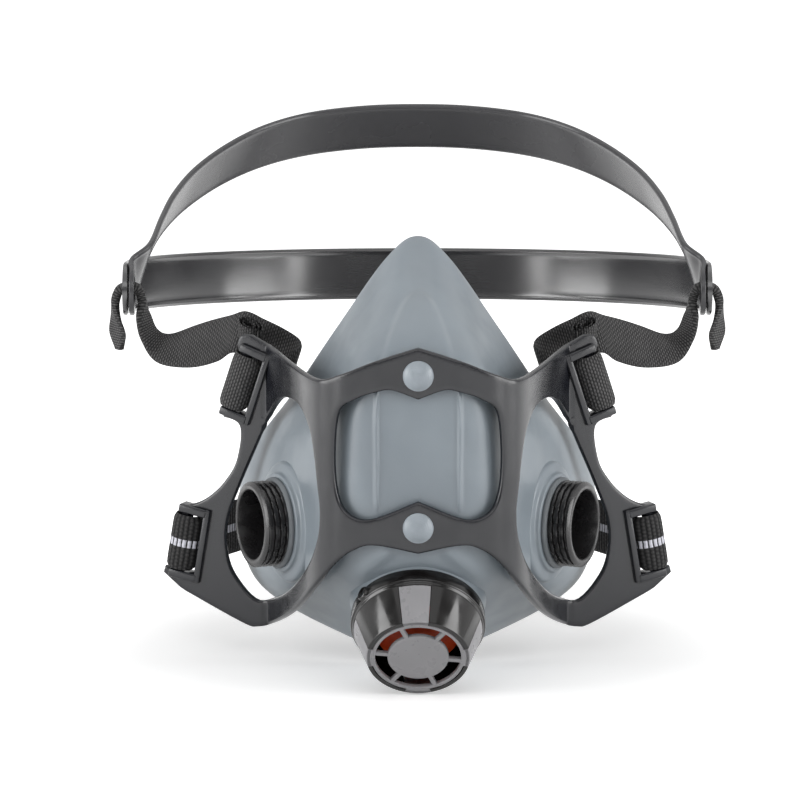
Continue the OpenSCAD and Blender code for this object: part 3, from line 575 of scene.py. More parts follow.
flat_x = np.linspace(0, panel_half_w, 40)[:-1]
flare_run = np.linspace(0, flare_reach, 60)[1:]
cradle_plan = np.vstack([
    np.stack([flat_x, 0 * flat_x + cradle_mid_y], -1),
    smooth_line([
        [panel_half_w, cradle_mid_y],
        [panel_half_w + 13, cradle_mid_y + 4.2],
        [panel_half_w + 22, cradle_mid_y + 14.2],
        [flare_x - 4, flare_y - 6.5],
        [flare_x, flare_y]], 40),
    np.stack([flare_x + flare_run, flare_y + flare_run * math.tan(flare_slope)], -1)])
cradle_arc = lengths(cradle_plan)
cradle_run = unit(np.gradient(cradle_plan, cradle_arc, axis=0))


def unrolled(outline):
    """Outline in X and Z laid out flat: X becomes the length along the plan."""
    outline = np.asarray(outline, float)
    return np.stack([np.interp(outline[:, 0], cradle_plan[:, 0], cradle_arc), outline[:, 1]], -1)


def past_middle(outline):
    """Right half of an outline, closed well across the middle line."""
    across = -50.0
    return np.vstack([unrolled(outline), [[across, outline[-1][1]], [across, outline[0][1]]]])


upper_corner = np.array([panel_half_w, stud_z])
lower_corner = np.array([panel_half_w, -stud_z])
flare_corner = np.array([flare_x, stud_z])
outer_edge = past_middle(np.vstack([
    smooth_line(np.vstack([
        [0, stud_z + 9.5],
        upper_corner + [[0, 5], [11, 0.2], [18, -2.5]],
        flare_corner + [[-14, -2.4], [-3.5, -0.5], [4.5, 3.5]]]), 8),
    flare_corner + [8.5, 3],
    smooth_line(flare_corner + [
        [15.5, -26], [8.6, -29], [9.7, -41], [14, -49], [19.2, -54.5], [24, -57.4], [29, -58.6]], 8),
    flare_corner + [[34, -60], [37, -82], [30, -88]],
    smooth_line(np.vstack([
        flare_corner + [[28, -89.2], [8, -98.8], [2.5, -99.8], [-3, -97.5], [-10.5, -88.3]],
        lower_corner + [[20.5, -22.7], [13.5, -13], [7, -7.8], [0, -6.2]],
        [0, -stud_z - 9]]), 8)]))
centre_edge = past_middle(smooth_line(np.vstack([
    [0, stud_z - 8.2],
    upper_corner + [[-5, -5], [1, -6], [7, -8.4], [12.5, -13]],
    [panel_half_w + 14, 0],
    lower_corner + [[13.4, 13], [10.7, 5.7], [5, 2.6], [-2, 4]],
    [0, -stud_z + 9]]), 8))
eye_edge = unrolled(smooth_loop(np.vstack([
    flare_corner + [
        [-8, -15], [-3.6, -21], [3.6, -37.7], [8.7, -50], [13, -62], [13.5, -72.5], [10.5, -82], [2, -90.4],
        [-7, -84.6]],
    lower_corner + [[23.5, -18.2], [19.6, -6.6], [18.7, 3.6]],
    [[panel_half_w + 19.5, -13], [panel_half_w + 20.5, -3]],
    upper_corner + [[22, -20.7], [25.5, -14.6]]]), 6))


def outline_distance(spots, outline):
    """Signed distance of flat spots from a closed outline, below zero inside it."""
    nearest = np.full(len(spots), np.inf)
    inside = np.zeros(len(spots), bool)
    for start, end in zip(outline, np.roll(outline, -1, 0)):
        run = end - start
        off = spots - start
        share = np.clip(off @ run / max(run @ run, 1e-12), 0, 1)
        nearest = np.minimum(nearest, np.sum((off - share[:, None] * run)**2, -1))
        spans = (start[1] > spots[:, 1]) != (end[1] > spots[:, 1])
        rise = run[1] if run[1] else 1.0
        inside ^= spans & (off[:, 0] < off[:, 1] * run[0] / rise)
    return np.where(inside, -1, 1) * np.sqrt(nearest)


def slot_distance(spots, tab):
    """Signed distance from the slot between a tab's bar and the sheet, open on the bar's far side."""
    off = spots - unrolled([tab[:2]])[0]
    lean_cos, lean_sin = math.cos(tab[2]), math.sin(tab[2])
    across = off @ np.array([lean_cos, lean_sin])
    along = off @ np.array([-lean_sin, lean_cos])
    span = 20.0
    over = np.stack([np.abs(across + bar_r + slot_w - span) - span, np.abs(along) - slot_len / 2], -1)
    return np.linalg.norm(np.maximum(over, 0), axis=-1) + np.minimum(over.max(-1), 0)


def cradle_distance(spots):
    """Signed distance from the cut edge of the flat sheet, below zero in the sheet."""
    spots = np.stack([np.abs(spots[:, 0]), spots[:, 1]], -1)
    holes = [outline_distance(spots, centre_edge), outline_distance(spots, eye_edge),
             slot_distance(spots, upper_tab), slot_distance(spots, lower_tab)]
    holes += [np.linalg.norm(spots - [0, z], axis=-1) - stud_hole_r for z in (stud_z, -stud_z)]
    return np.maximum(outline_distance(spots, outer_edge), -np.minimum.reduce(holes))


def cradle_slope(spots):
    """Direction in which the distance from the edge grows fastest."""
    step = 0.05
    shifts = (np.array([step, 0]), np.array([0, step]))
    rise = [cradle_distance(spots + shift) - cradle_distance(spots - shift) for shift in shifts]
    return unit(np.stack(rise, -1) + 1e-9)


def on_sheet(spots, height):
    """Flat spots carried on to the bent sheet, at a height above its middle."""
    arc, side = np.abs(spots[:, 0]), np.sign(spots[:, 0])
    x, y = (np.interp(arc, cradle_arc, cradle_plan[:, k]) for k in (0, 1))
    run_x, run_y = (np.interp(arc, cradle_arc, cradle_run[:, k]) for k in (0, 1))
    return np.stack([side * (x + height * run_y), y - height * run_x, spots[:, 1]], -1)


cell = 0.62
half_arc = cradle_arc[-1]
arc_line = np.linspace(-half_arc, half_arc, 2 * round(half_arc / cell) + 1)
z_line = np.arange(-stud_z - 52, stud_z + 12, cell)
flat = np.stack(np.meshgrid(arc_line, z_line, indexing="ij"), -1).reshape(-1, 2)
inside = (cradle_distance(flat) < -cradle_edge_r).reshape(len(arc_line), len(z_line))
kept = inside[:-1, :-1] & inside[1:, :-1] & inside[1:, 1:] & inside[:-1, 1:]
i, j = np.nonzero(kept)
corners = np.stack([(i + di) * len(z_line) + j + dj for di, dj in ((0, 0), (1, 0), (1, 1), (0, 1))], -1)
used, quads = np.unique(corners, return_inverse=True)
quads = quads.reshape(-1, 4)
spots = flat[used]
count = len(spots)
sides = np.stack([quads, np.roll(quads, -1, 1)], -1).reshape(-1, 2)
rim = sides[~np.isin(sides[:, 1] * count + sides[:, 0], sides[:, 0] * count + sides[:, 1])]
on_rim = np.unique(rim)
for _ in range(4):
    off_edge = cradle_distance(spots[on_rim]) + cradle_edge_r
    spots[on_rim] -= off_edge[:, None] * cradle_slope(spots[on_rim])
slope = cradle_slope(spots[on_rim])
flat_half = cradle_t / 2 - cradle_edge_r
quarter = np.linspace(0, math.pi / 2, 5)
edge_ring = ([(math.sin(q), flat_half + cradle_edge_r * math.cos(q)) for q in quarter]
             + [(math.cos(q), -flat_half - cradle_edge_r * math.sin(q)) for q in quarter])[1:-1]
sheet_points = [on_sheet(spots, cradle_t / 2), on_sheet(spots, -cradle_t / 2)]
sheet_points += [on_sheet(spots[on_rim] + cradle_edge_r * out * slope, high) for out, high in edge_ring]
rings = [on_rim] + [2 * count + k * len(on_rim) + np.arange(len(on_rim)) for k in range(len(edge_ring))]
rings += [count + on_rim]
ends = np.searchsorted(on_rim, rim)
sheet_faces = [quads, count + quads[:, ::-1]]
sheet_faces += [np.stack([r[ends[:, 0]], s[ends[:, 0]], s[ends[:, 1]], r[ends[:, 1]]], -1)
                for r, s in zip(rings, rings[1:])]
cradle_plastic = moulded_finish(
    "cradle_plastic", (0.0105, 0.0112, 0.0145), (0.0085, 0.0090, 0.0118), 0.20, 45.0, 2600.0, 0.3)
cradle = put("cradle_sheet", np.vstack(sheet_points), np.vstack(sheet_faces), cradle_plastic, sharp=60.0)
fix(cradle, "mask", "cradle_plastic", "cradle")


def block(low, high, radius, place, axes):
    """Rounded box between two corners: the octants of a ball of the edge radius, pulled apart."""
    low, high = np.asarray(low, float), np.asarray(high, float)
    steps = 5
    arc = np.linspace(0, math.pi / 2, steps)
    around = np.concatenate([arc + k * math.pi / 2 for k in range(4)])
    up = np.concatenate([arc - math.pi / 2, arc])[:, None]
    ball = np.stack(np.broadcast_arrays(
        np.cos(up) * np.cos(around), np.cos(up) * np.sin(around), np.sin(up)), -1)
    x_sign, y_sign, z_sign = (np.repeat(s, steps) for s in ([1, -1, -1, 1], [1, 1, -1, -1], [-1, 1]))
    sign = np.stack(np.broadcast_arrays(x_sign, y_sign, z_sign[:, None]), -1)
    middle, half = (low + high) / 2, (high - low) / 2
    shell = middle + sign * (half - radius) + radius * ball
    caps = [np.ones((1, 4 * steps, 1)) * (middle + [0, 0, end * half[2]]) for end in (-1, 1)]
    points = np.concatenate([caps[0], shell, caps[1]])
    return (place + points @ axes).reshape(-1, 3), grid_faces(len(points), 4 * steps)


def joined(shapes):
    """Several shapes of points and quads as one."""
    starts = np.cumsum([0] + [len(points) for points, _ in shapes[:-1]])
    return np.vstack([p for p, _ in shapes]), np.vstack([f + s for (_, f), s in zip(shapes, starts)])


def tab_axes(tab):
    """Axes of a tab as rows: across the bar outwards, towards the wearer, along the bar upwards."""
    c, s = math.cos(flare_slope), math.sin(flare_slope)
    lean_c, lean_s = math.cos(tab[2]), math.sin(tab[2])
    return np.array([[lean_c * c, lean_c * s, lean_s], [-s, c, 0], [-lean_s * c, -lean_s * s, lean_c]])


def tab_place(tab):
    return np.array([tab[0], flare_y + (tab[0] - flare_x) * math.tan(flare_slope), tab[1]])


for name, tab in (("upper", upper_tab), ("lower", lower_tab)):
    place, axes = tab_place(tab), tab_axes(tab)
    lug_from, lug_to = -bar_r - slot_w - 1, bar_r + lug_over
    bar_end = slot_len / 2 + 2
    shapes = [block((lug_from, -lug_depth / 2, low), (lug_to, lug_depth / 2, low + lug_h), 0.6, place, axes)
              for low in (slot_len / 2, -slot_len / 2 - lug_h)]
    shapes.append(block((-bar_r - slot_w - tab_rib_w, -cradle_t / 2 - tab_rib_h, -slot_len / 2 - lug_h),
                        (-bar_r - slot_w, 0, slot_len / 2 + lug_h), 0.6, place, axes))
    shapes.append(turned(oblong(0, bar_r, -bar_end, bar_end), place, axes, 40, closed=False))
    points, faces = joined(shapes)
    for side, mirror in mirrors.items():
        tab_piece = put(f"cradle_{side}_{name}_tab", points * mirror, faces, cradle_plastic)
        fix(tab_piece, "mask", "cradle_plastic")


# Studs: two turned light-grey plastic buttons. The shank passes through cradle and wall and is closed
# by a button inside; the head is a low dome.
stud_r = 5.2
stud_dome_h = 2.3
stud_shank_r = 2.5
stud_head = pad_h + cradle_t + fit_gap
stud_foot = -wall - fit_gap
button_t = 1.6
dome_r = (stud_r**2 + stud_dome_h**2) / (2 * stud_dome_h)
dome_angle = np.linspace(0, math.asin((stud_r - 0.35) / dome_r), 22)
dome_top = stud_head + stud_dome_h
dome = np.stack([dome_r * np.sin(dome_angle), dome_top - dome_r * (1 - np.cos(dome_angle))], -1)
stud_profile = np.vstack([
    dome,
    [[stud_r - 0.08, stud_head + 0.3], [stud_r, stud_head + 0.12], [stud_r - 0.1, stud_head]],
    [[stud_shank_r, stud_head], [stud_shank_r, stud_foot], [stud_shank_r + 2, stud_foot]],
    [[stud_shank_r + 2, stud_foot - button_t], [0, stud_foot - button_t]]])


def turned_finish(name, colour, dark, middle):
    """Lathe-turned plastic: fine rings round an axis along Y, and a soft cloud of colour."""
    ring_turns = 9000.0
    finish = Finish(bpy.data.materials.new(name))
    place = finish.place()
    off = finish.vector_math("SUBTRACT", place, tuple(middle * MM))
    radius = finish.vector_math("LENGTH", finish.vector_math("MULTIPLY", off, (1, 0, 1)))
    rings = (radius * ring_turns).math("SINE")
    cloud = finish.noise(place, 120.0, 3.0)
    return finish.shader(
        Base_Color=finish.mix(finish.between(cloud, 0.3, 0.7), (*dark, 1), (*colour, 1)),
        Roughness=finish.between(rings, -1.0, 1.0, 0.34, 0.42),
        Normal=finish.bump(rings, 0.00004, 0.35))


for name, place in zip(("upper_stud", "lower_stud"), stud_places):
    finish = turned_finish(name, (0.270, 0.305, 0.335), (0.235, 0.265, 0.292), place)
    fix(spun(f"{name}_button", stud_profile, place, stud_axes, finish, 72), "mask", "stud_plastic", name)


# Filter connectors: black plastic spigots with a coarse outside thread for the filters. Each is pushed
# through its cheek from inside, where a flange stops it and a spider carries the inhalation flap.
inlet_r = 12.0
thread_r = 14.8
thread_len = 8.2
gasket_t = 1.8
flange_r = collar_r + 0.6
flange_t = 2.0
flange_face = -port_web - fit_gap
flange_low = flange_face - flange_t
rim_h = gasket_t + thread_len
seat_lip = 1.8
thread_pitch = 2.05
thread_depth = 1.05
hub_r = 3.0
stem_hole_r = 1.55
spoke_w = 2.0
connector_plastic = moulded_finish(
    "connector_plastic", (0.014, 0.0135, 0.0145), (0.010, 0.0095, 0.010), 0.26, 70.0, 2200.0, 0.3)

thread_h = np.linspace(gasket_t + 0.1, rim_h - 0.9, 72)
connector_foot = np.array([
    [inlet_r - seat_lip, flange_low], [flange_r - 0.4, flange_low], [flange_r, flange_low + 0.4],
    [flange_r, flange_face - 0.3], [flange_r - 0.3, flange_face], [neck_r, flange_face],
    [neck_r, gasket_t], [thread_r - thread_depth, gasket_t]])
inlet_edge = np.array([inlet_r, rim_h])
connector_rim = np.vstack([
    [thread_r - 0.18, rim_h - 0.75], [thread_r - 0.6, rim_h - 0.33],
    inlet_edge + [[1.55, -0.06], [1.25, 0], [0.4, 0], [0.12, -0.12], [0, -0.4]],
    [inlet_r, flange_face], [inlet_r - seat_lip, flange_face]])
thread_wall = np.stack([0 * thread_h + thread_r, thread_h], -1)
connector_profile = np.vstack([connector_foot, thread_wall, connector_rim])
connector_steps = 160
connector_angle = np.arange(connector_steps) * 2 * math.pi / connector_steps
ridge = ease(np.cos(2 * math.pi * thread_h[:, None] / thread_pitch - connector_angle), -0.6, 0.5)
groove = thread_depth * (1 - ridge) * (1 - ease(thread_h, rim_h - 1.7, rim_h - 1.0))[:, None]
connector_r = np.repeat(connector_profile[:, :1], connector_steps, 1)
connector_r[len(connector_foot):len(connector_foot) + len(thread_h)] -= groove
connector_local = np.stack(np.broadcast_arrays(
    connector_r * np.cos(connector_angle), connector_r * np.sin(connector_angle),
    connector_profile[:, 1:]), -1)
connector_faces = grid_faces(len(connector_profile), connector_steps, True)


def turned_axes(axes, angle):
    """Axes turned about the third one by an angle in degrees."""
    a = math.radians(angle)
    return np.array([[math.cos(a), math.sin(a), 0], [-math.sin(a), math.cos(a), 0], [0, 0, 1]]) @ axes


def spider(reach, low, high, place, axes):
    """Hub with a stem hole on four spokes."""
    hub = rounded(oblong(stem_hole_r, hub_r, low, high), 0.3)
    near, far = (hub_r - 0.4, -spoke_w / 2, low), (reach, spoke_w / 2, high)
    spokes = [block(near, far, 0.3, place, turned_axes(axes, angle)) for angle in (0, 90, 180, 270)]
    return joined([turned(hub, place, axes, 48)] + spokes)


for side, (place, axes) in ports.items():
    points = place + connector_local @ axes
    spigot = put(f"{side}_connector_spigot", points, connector_faces, connector_plastic, sharp=50.0)
    fix(spigot, "mask", "connector_plastic", f"{side}_connector")
    hub = spider(inlet_r - seat_lip + 0.5, flange_low, flange_face, place, axes)
    fix(put(f"{side}_connector_spider", *hub, connector_plastic), "mask", "connector_plastic")


# Port gaskets: soft grey rings at the foot of each thread, stretched over the neck, that seal the filter.
gasket_r = collar_r - 1.2
gasket_profile = rounded([
    [neck_r + fit_gap, 0], [gasket_r, 0], [gasket_r, gasket_t / 2], [gasket_r - gasket_t / 2, gasket_t],
    [neck_r + fit_gap, gasket_t]], 0.35)
gasket_rubber = moulded_finish(
    "gasket_rubber", (0.120, 0.132, 0.142), (0.095, 0.105, 0.114), 0.5, 90.0, 1800.0)
for side, (place, axes) in ports.items():
    gasket = spun(f"{side}_port_gasket_ring", gasket_profile, place, axes, gasket_rubber)
    fix(gasket, "mask", "gasket_rubber", f"{side}_port_gasket")


# Flaps: thin discs of silicone with a stem and a bulb, pulled through the hub of a spider. Those in the
# cheeks are dark and lift inwards; the one in the chin is orange-red and lifts outwards.
stem_r = 1.4
bulb_r = 2.1
flap_lift = 1.2
flap_t = 0.8
flap_r = 14.0
seat_inner_r = flap_r - 1.4
seat_cup_h = 8.2
seat_rim_h = 0.5
hub_low = 5.0
hub_high = 7.0
seat_edge = seat_cup_h + seat_rim_h
flap_face = seat_edge + fit_gap


def flap_profile(radius, hub_from, hub_to):
    """Disc on the far side of a hub, stem through it and bulb on the near side."""
    bulb_top = hub_from - flap_lift - 0.15
    return np.array([
        [0, bulb_top - 1.5], [stem_r * 0.8, bulb_top - 1.5], [stem_r, bulb_top - 1.3],
        [bulb_r, bulb_top - 0.2], [bulb_r - 0.2, bulb_top], [stem_r, bulb_top], [stem_r, hub_to],
        [radius - 0.1, hub_to], [radius, hub_to + 0.1], [radius, hub_to + 0.4],
        [radius - 0.12, hub_to + 0.49], [radius * 0.62, hub_to + 0.62], [radius * 0.3, hub_to + flap_t],
        [0, hub_to + flap_t]])


dark_silicone = moulded_finish(
    "dark_silicone", (0.030, 0.028, 0.028), (0.020, 0.019, 0.019), 0.42, 150.0, 2500.0)
orange_silicone = moulded_finish(
    "orange_silicone", (0.900, 0.095, 0.012), (0.800, 0.070, 0.010), 0.38, 150.0, 2500.0)
inhale_profile = flap_profile(inlet_r - 0.5, -flange_face, flange_t - flange_face + fit_gap) * [1, -1]
for side, (place, axes) in ports.items():
    flap = spun(f"{side}_inhalation_disc", inhale_profile, place, axes, dark_silicone)
    fix(flap, f"{side}_inhalation_valve", "flap_rubber", f"{side}_inhalation_flap")
exhale_profile = flap_profile(flap_r, hub_low, flap_face)
exhale_flap = spun("exhalation_disc", exhale_profile, valve_place, valve_axes, orange_silicone)
fix(exhale_flap, "exhalation_valve", "flap_rubber", "exhalation_flap")


# Exhalation seat: a black moulded barrel clipped into the chin boss between two flanges, with a cup
# whose narrow rim the flap closes on.
seat_flange_r = seat_barrel_r + 2.3
seat_flange_t = 2.0
seat_outer_r = seat_barrel_r + 3.3
valve_web = 6.0
seat_low = -valve_web - fit_gap
seat_foot = seat_low - seat_flange_t
seat_face = fit_gap + seat_flange_t
cup_r = seat_inner_r + 2.2
edge_r = seat_inner_r + 1.2
seat_profile = rounded([
    [seat_inner_r, seat_foot], [seat_flange_r, seat_foot], [seat_flange_r, seat_low],
    [seat_barrel_r, seat_low], [seat_barrel_r, fit_gap], [seat_outer_r, fit_gap],
    [seat_outer_r, seat_face], [cup_r, seat_face],
    [cup_r, seat_cup_h], [edge_r, seat_cup_h], [edge_r, seat_edge], [seat_inner_r, seat_edge]], 0.3)
seat_plastic = moulded_finish(
    "seat_plastic", (0.018, 0.0175, 0.018), (0.012, 0.0115, 0.012), 0.35, 70.0, 2200.0)
seat = spun("exhalation_seat_barrel", seat_profile, valve_place, valve_axes, seat_plastic)
fix(seat, "mask", "valve_plastic", "exhalation_seat")
hub = spider(seat_inner_r + 0.5, hub_low, hub_high, valve_place, valve_axes)
fix(put("exhalation_seat_spider", *hub, seat_plastic), "mask", "valve_plastic")


# Valve shroud: a glossy black cone over the flap, gripped on the seat by its thick back ring, with a
# small pull lug and four windows from the front rim backwards.
shroud_r = 22.9
shroud_front_r = 17.5
shroud_len = 20.0
shroud_wall = 1.5
ring_h = 5.5
shroud_place = valve_place + 0.4 * valve_axis
grip_r = seat_outer_r + 0.3
window_low = ring_h + 1.2
panel_angles = np.array([93.0, 180.0, 270.0, 360.0])
panel_arc = 30.0
lug_angle = 144.0
shroud_plastic = moulded_finish(
    "shroud_plastic", (0.0070, 0.0062, 0.0060), (0.0050, 0.0045, 0.0045), 0.14, 60.0, 900.0, 0.05)


def cone_r(z):
    """Radius of the cone's outer face at a height above the shroud's base."""
    return shroud_r - 0.5 - (z - ring_h) * (shroud_r - 0.5 - shroud_front_r) / (shroud_len - ring_h)


def sector(section, start, end):
    """Section of [radius, height] carried round the valve's axis between two angles, with flat ends."""
    steps = max(6, round(abs(end - start)))
    angle = np.radians(np.linspace(start, end, steps + 1))
    middle = np.repeat(section.mean(0)[None], len(section), 0)
    rows = np.stack([middle] + [section] * (steps + 1) + [middle])
    angle = np.concatenate([angle[:1], angle, angle[-1:]])[:, None]
    local = np.stack([rows[..., 0] * np.cos(angle), rows[..., 0] * np.sin(angle), rows[..., 1]], -1)
    points = (shroud_place + local @ valve_axes).reshape(-1, 3)
    return points, grid_faces(len(rows), len(section))


def wall_section(low, radius):
    """Section of the cone's wall from a height to the front rim, with rounded corners."""
    return rounded([
        [cone_r(low) - shroud_wall, low], [cone_r(low), low],
        [cone_r(shroud_len), shroud_len], [cone_r(shroud_len) - shroud_wall, shroud_len]], radius)


back_ring = rounded([
    [grip_r, 0], [shroud_r - 0.3, 0], [shroud_r, 0.6], [shroud_r, ring_h - 0.3],
    [cone_r(ring_h), ring_h + 0.1], [cone_r(window_low), window_low],
    [cone_r(window_low) - shroud_wall, window_low],
    [cone_r(ring_h) - shroud_wall, ring_h], [grip_r, 3]], 0.45)
shapes = [turned(back_ring, shroud_place, valve_axes, 144)]
cone_section = wall_section(window_low - 0.3, 0.4)
wall_from = np.roll(panel_angles, 1) - [360, 0, 0, 0] + panel_arc / 2
for start, end in zip(wall_from, panel_angles - panel_arc / 2):
    shapes.append(sector(cone_section, start, end))
lug_way = turned_axes(valve_axes, lug_angle)[0]
lug_place = shroud_place + (shroud_r - 1.2) * lug_way + ring_h / 2 * valve_axis
lug_profile = [[0, 0], [2.7, 0], [2.55, 1.5], [2.2, 2.0], [1.7, 2.15], [1.3, 2.0], [0, 1.9]]
shapes.append(turned(lug_profile, lug_place, axes_on(lug_way, valve_axis), 40, closed=False))
shroud = put("valve_shroud_cone", *joined(shapes), shroud_plastic, sharp=40.0)
fix(shroud, "valve_cover", "valve_plastic", "valve_shroud")


# Valve cage: a light grey moulding clipped into the shroud from the front. A disc on six spokes guards
# the flap, and four side panels lie flush in the shroud's windows.
cage_t = 1.8
cage_disc_r = 10.4
cage_ring_w = 1.3
cage_spoke_w = 1.5
cage_phase = 53.0
panel_gap = 0.15
cage_ring_r = cone_r(shroud_len) - shroud_wall - panel_gap
cage_low = shroud_len - cage_t
cage_plastic = moulded_finish(
    "cage_plastic", (0.240, 0.237, 0.247), (0.222, 0.219, 0.228), 0.30, 90.0, 2000.0, 0.06)
disc_edge = np.array([cage_disc_r, shroud_len])
disc_profile = np.vstack([
    [0, cage_low], [cage_disc_r - 0.3, cage_low], [cage_disc_r, cage_low + 0.3],
    disc_edge + [[0, -0.45], [-0.15, -0.15], [-0.5, 0], [-1.6, -0.05]],
    [0, shroud_len - 0.12]])
ring_section = rounded(oblong(cage_ring_r - cage_ring_w, cage_ring_r, cage_low, shroud_len - 0.1), 0.3)
shapes = [turned(disc_profile, shroud_place, valve_axes, closed=False),
          turned(ring_section, shroud_place, valve_axes)]
spoke_near = (cage_disc_r - 0.6, -cage_spoke_w / 2, cage_low)
spoke_far = (cage_ring_r - 0.4, cage_spoke_w / 2, shroud_len - 0.12)
for k in range(6):
    spoke_axes = turned_axes(valve_axes, cage_phase + 60 * k)
    shapes.append(block(spoke_near, spoke_far, 0.3, shroud_place, spoke_axes))
panel_section = wall_section(window_low + panel_gap, 0.3)
front_section = rounded(
    oblong(cage_ring_r - cage_ring_w / 2, cone_r(shroud_len), cage_low, shroud_len), 0.3)
half = (panel_arc - 1.2) / 2
for a in panel_angles:
    for section in (panel_section, front_section):
        shapes.append(sector(section, a - half, a + half))
cage = put("valve_cage_guard", *joined(shapes), cage_plastic, sharp=40.0)
fix(cage, "valve_cover", "cage_plastic", "valve_cage")


# Head harness straps: two flat bands of dark grey rubber with a thin raised bead along both edges. The
# nape band and the crown band overlap at their rounded ends, where an eyelet takes the webbing.
strap_w = 19.0
strap_t = 2.0
loop_half_w = 103.0
eyelet_y = 44.0
eyelet_z = 38.5
eyelet_r = 5.0
nape_lead = 9.0
nape_tilt = math.radians(-6)
crown_rise = math.radians(23)
crown_end_tilt = math.radians(33)
crown_lead = 6.0
crown_reach = 114.0
crown_half_w = loop_half_w - strap_t - 0.3
bead_h = 0.22
bead_w = 0.42
bead_in = 1.1
bead_sink = 0.12
bead_fade = (10, 20)
eyelets = np.array([0, eyelet_y, eyelet_z])


def carried(name, places, across, ring, finish):
    """Piece from a ring of [across, thin] offsets at each place of a path, closed at both ends.

    The thin direction is square to the run and to the across direction; the UV map holds the offset
    across and the length along the path, in millimetres.
    """
    thin = unit(np.cross(unit(np.gradient(places, axis=0)), across))
    shell = places[:, None] + ring[..., :1] * across[:, None] + ring[..., 1:] * thin[:, None]
    count = ring.shape[1]
    caps = [np.repeat(places[end][None, None], count, 1) for end in (0, -1)]
    points = np.concatenate([caps[0], shell, caps[1]])
    along = np.repeat(lengths(places)[:, None], count, 1)
    uv = np.stack([ring[..., 0], along], -1)
    uv = np.concatenate([uv[:1], uv, uv[-1:]])
    return put(name, points, grid_faces(len(points), count), finish, uv, 50.0)


def even(points, spacing):
    """Line of points spread evenly along its length."""
    length = lengths(points[:, :3])
    at = np.linspace(0, length[-1], max(8, round(length[-1] / spacing)))
    return np.stack([np.interp(at, length, points[:, k]) for k in range(points.shape[1])], -1)


def strap(name, path, finish):
    """Rubber band along a path of rows: place, then the direction of its width.

    Its section is flat with rounded edges and a bead near each edge. At both ends its width follows a
    half circle and the bead fades out, so that the bands lie flat on each other at the eyelets.
    """
    path = even(path, 1.0)
    tips = np.array([0, 0.03, 0.1, 0.22, 0.42, 0.7])[:, None]
    first, last = path[0] + tips * (path[1] - path[0]), path[-1] - tips[::-1] * (path[-1] - path[-2])
    path = np.vstack([first, path[1:-1], last])
    length = lengths(path[:, :3])
    to_end = np.minimum(length, length[-1] - length)
    short_of_round = np.maximum(strap_w / 2 - to_end, 0)
    half_w = np.sqrt(np.maximum((strap_w / 2)**2 - short_of_round**2, 0.01))
    share = np.concatenate([
        np.linspace(-1, -0.86, 10), np.linspace(-0.84, 0.84, 15), np.linspace(0.86, 1, 10)])
    edge_gap = (1 - np.abs(share)) * strap_w / 2
    plain = strap_t / 2 * np.sqrt(1 - np.abs(share)**30) - bead_sink
    bead = bead_h * np.exp(-((edge_gap - bead_in) / bead_w)**2)
    bead_share = ease(to_end, *bead_fade)
    thick = plain + bead_share[:, None] * bead
    thick[:, [0, -1]] = 0
    out = half_w[:, None] * np.concatenate([share, share[-2:0:-1]])
    ring = np.stack([out, np.concatenate([thick, -thick[:, -2:0:-1]], 1)], -1)
    return carried(name, path[:, :3], unit(path[:, 3:]), ring, finish)


def strap_finish(name, colour, dark, shine, sheen_low):
    """Extruded rubber: faint streaks along the band, dusty patches and a soft gloss."""
    finish = Finish(bpy.data.materials.new(name))
    place = finish.place()
    band = finish.node("ShaderNodeUVMap")
    streak = finish.vector_math("MULTIPLY", band, (1.6, 0.02, 1.0))
    lines = finish.noise(streak, 1.0, 3.0)
    dust = finish.noise(place, 55.0, 4.0)
    skin = finish.noise(place, 1700.0, 2.0)
    tone = dust * 0.6 + lines * 0.4
    return finish.shader(
        Base_Color=finish.mix(tone, (*dark, 1), (*colour, 1)),
        Roughness=finish.between(dust, 0.2, 0.8, sheen_low, sheen_low + 0.05), Specular_IOR_Level=shine,
        Normal=finish.bump(skin * 0.7 + lines * 0.3, 0.00006, 0.1))


def end_axes(tilt):
    """Directions at the eyelets for a band that rises at a tilt: along it to the back, and across it."""
    return np.array([0, math.cos(tilt), math.sin(tilt)]), np.array([0, -math.sin(tilt), math.cos(tilt)])


nape_angle = np.linspace(0, math.pi, 400)[:, None]
nape_back, nape_up = end_axes(nape_tilt)
nape_side = np.array([loop_half_w, 0, 0])
nape_arch = np.cos(nape_angle) * nape_side + (nape_lead + loop_half_w * np.sin(nape_angle)) * nape_back
nape_ends = [side * nape_side - strap_w / 2 * nape_back for side in (1, -1)]
nape_places = eyelets + np.vstack([nape_ends[:1], nape_arch, nape_ends[1:]])
nape_path = np.hstack([nape_places, np.repeat(nape_up[None], len(nape_places), 0)])

crown_bend = np.array([
    [0.96, 0.105, 0.184, -0.26, -0.53, 0.79],
    [0.928, 0.248, 0.349, -0.31, -0.52, 0.79],
    [0.885, 0.362, 0.498, -0.28, -0.5, 0.82],
    [0.813, 0.514, 0.638, -0.24, -0.45, 0.86],
    [0.701, 0.686, 0.771, -0.18, -0.47, 0.87],
    [0.564, 0.829, 0.878, -0.11, -0.46, 0.88],
    [0.4, 0.93, 0.95, -0.06, -0.45, 0.89],
    [0.2, 0.985, 0.99, -0.03, -0.45, 0.89],
    [0, 1, 1, 0, -0.45, 0.89]])
crown_size = np.array([crown_half_w, crown_reach * math.cos(crown_rise), crown_reach * math.sin(crown_rise)])
crown_back, crown_up = end_axes(crown_end_tilt)
crown_steps = np.array([-strap_w / 2, -strap_w / 4, 0, crown_lead])
crown_ends = eyelets + [crown_half_w, 0, 0] + crown_steps[:, None] * crown_back
crown_half = np.vstack([
    np.hstack([crown_ends, np.repeat(crown_up[None], len(crown_ends), 0)]),
    np.hstack([eyelets + crown_bend[:, :3] * crown_size, crown_bend[:, 3:]])])
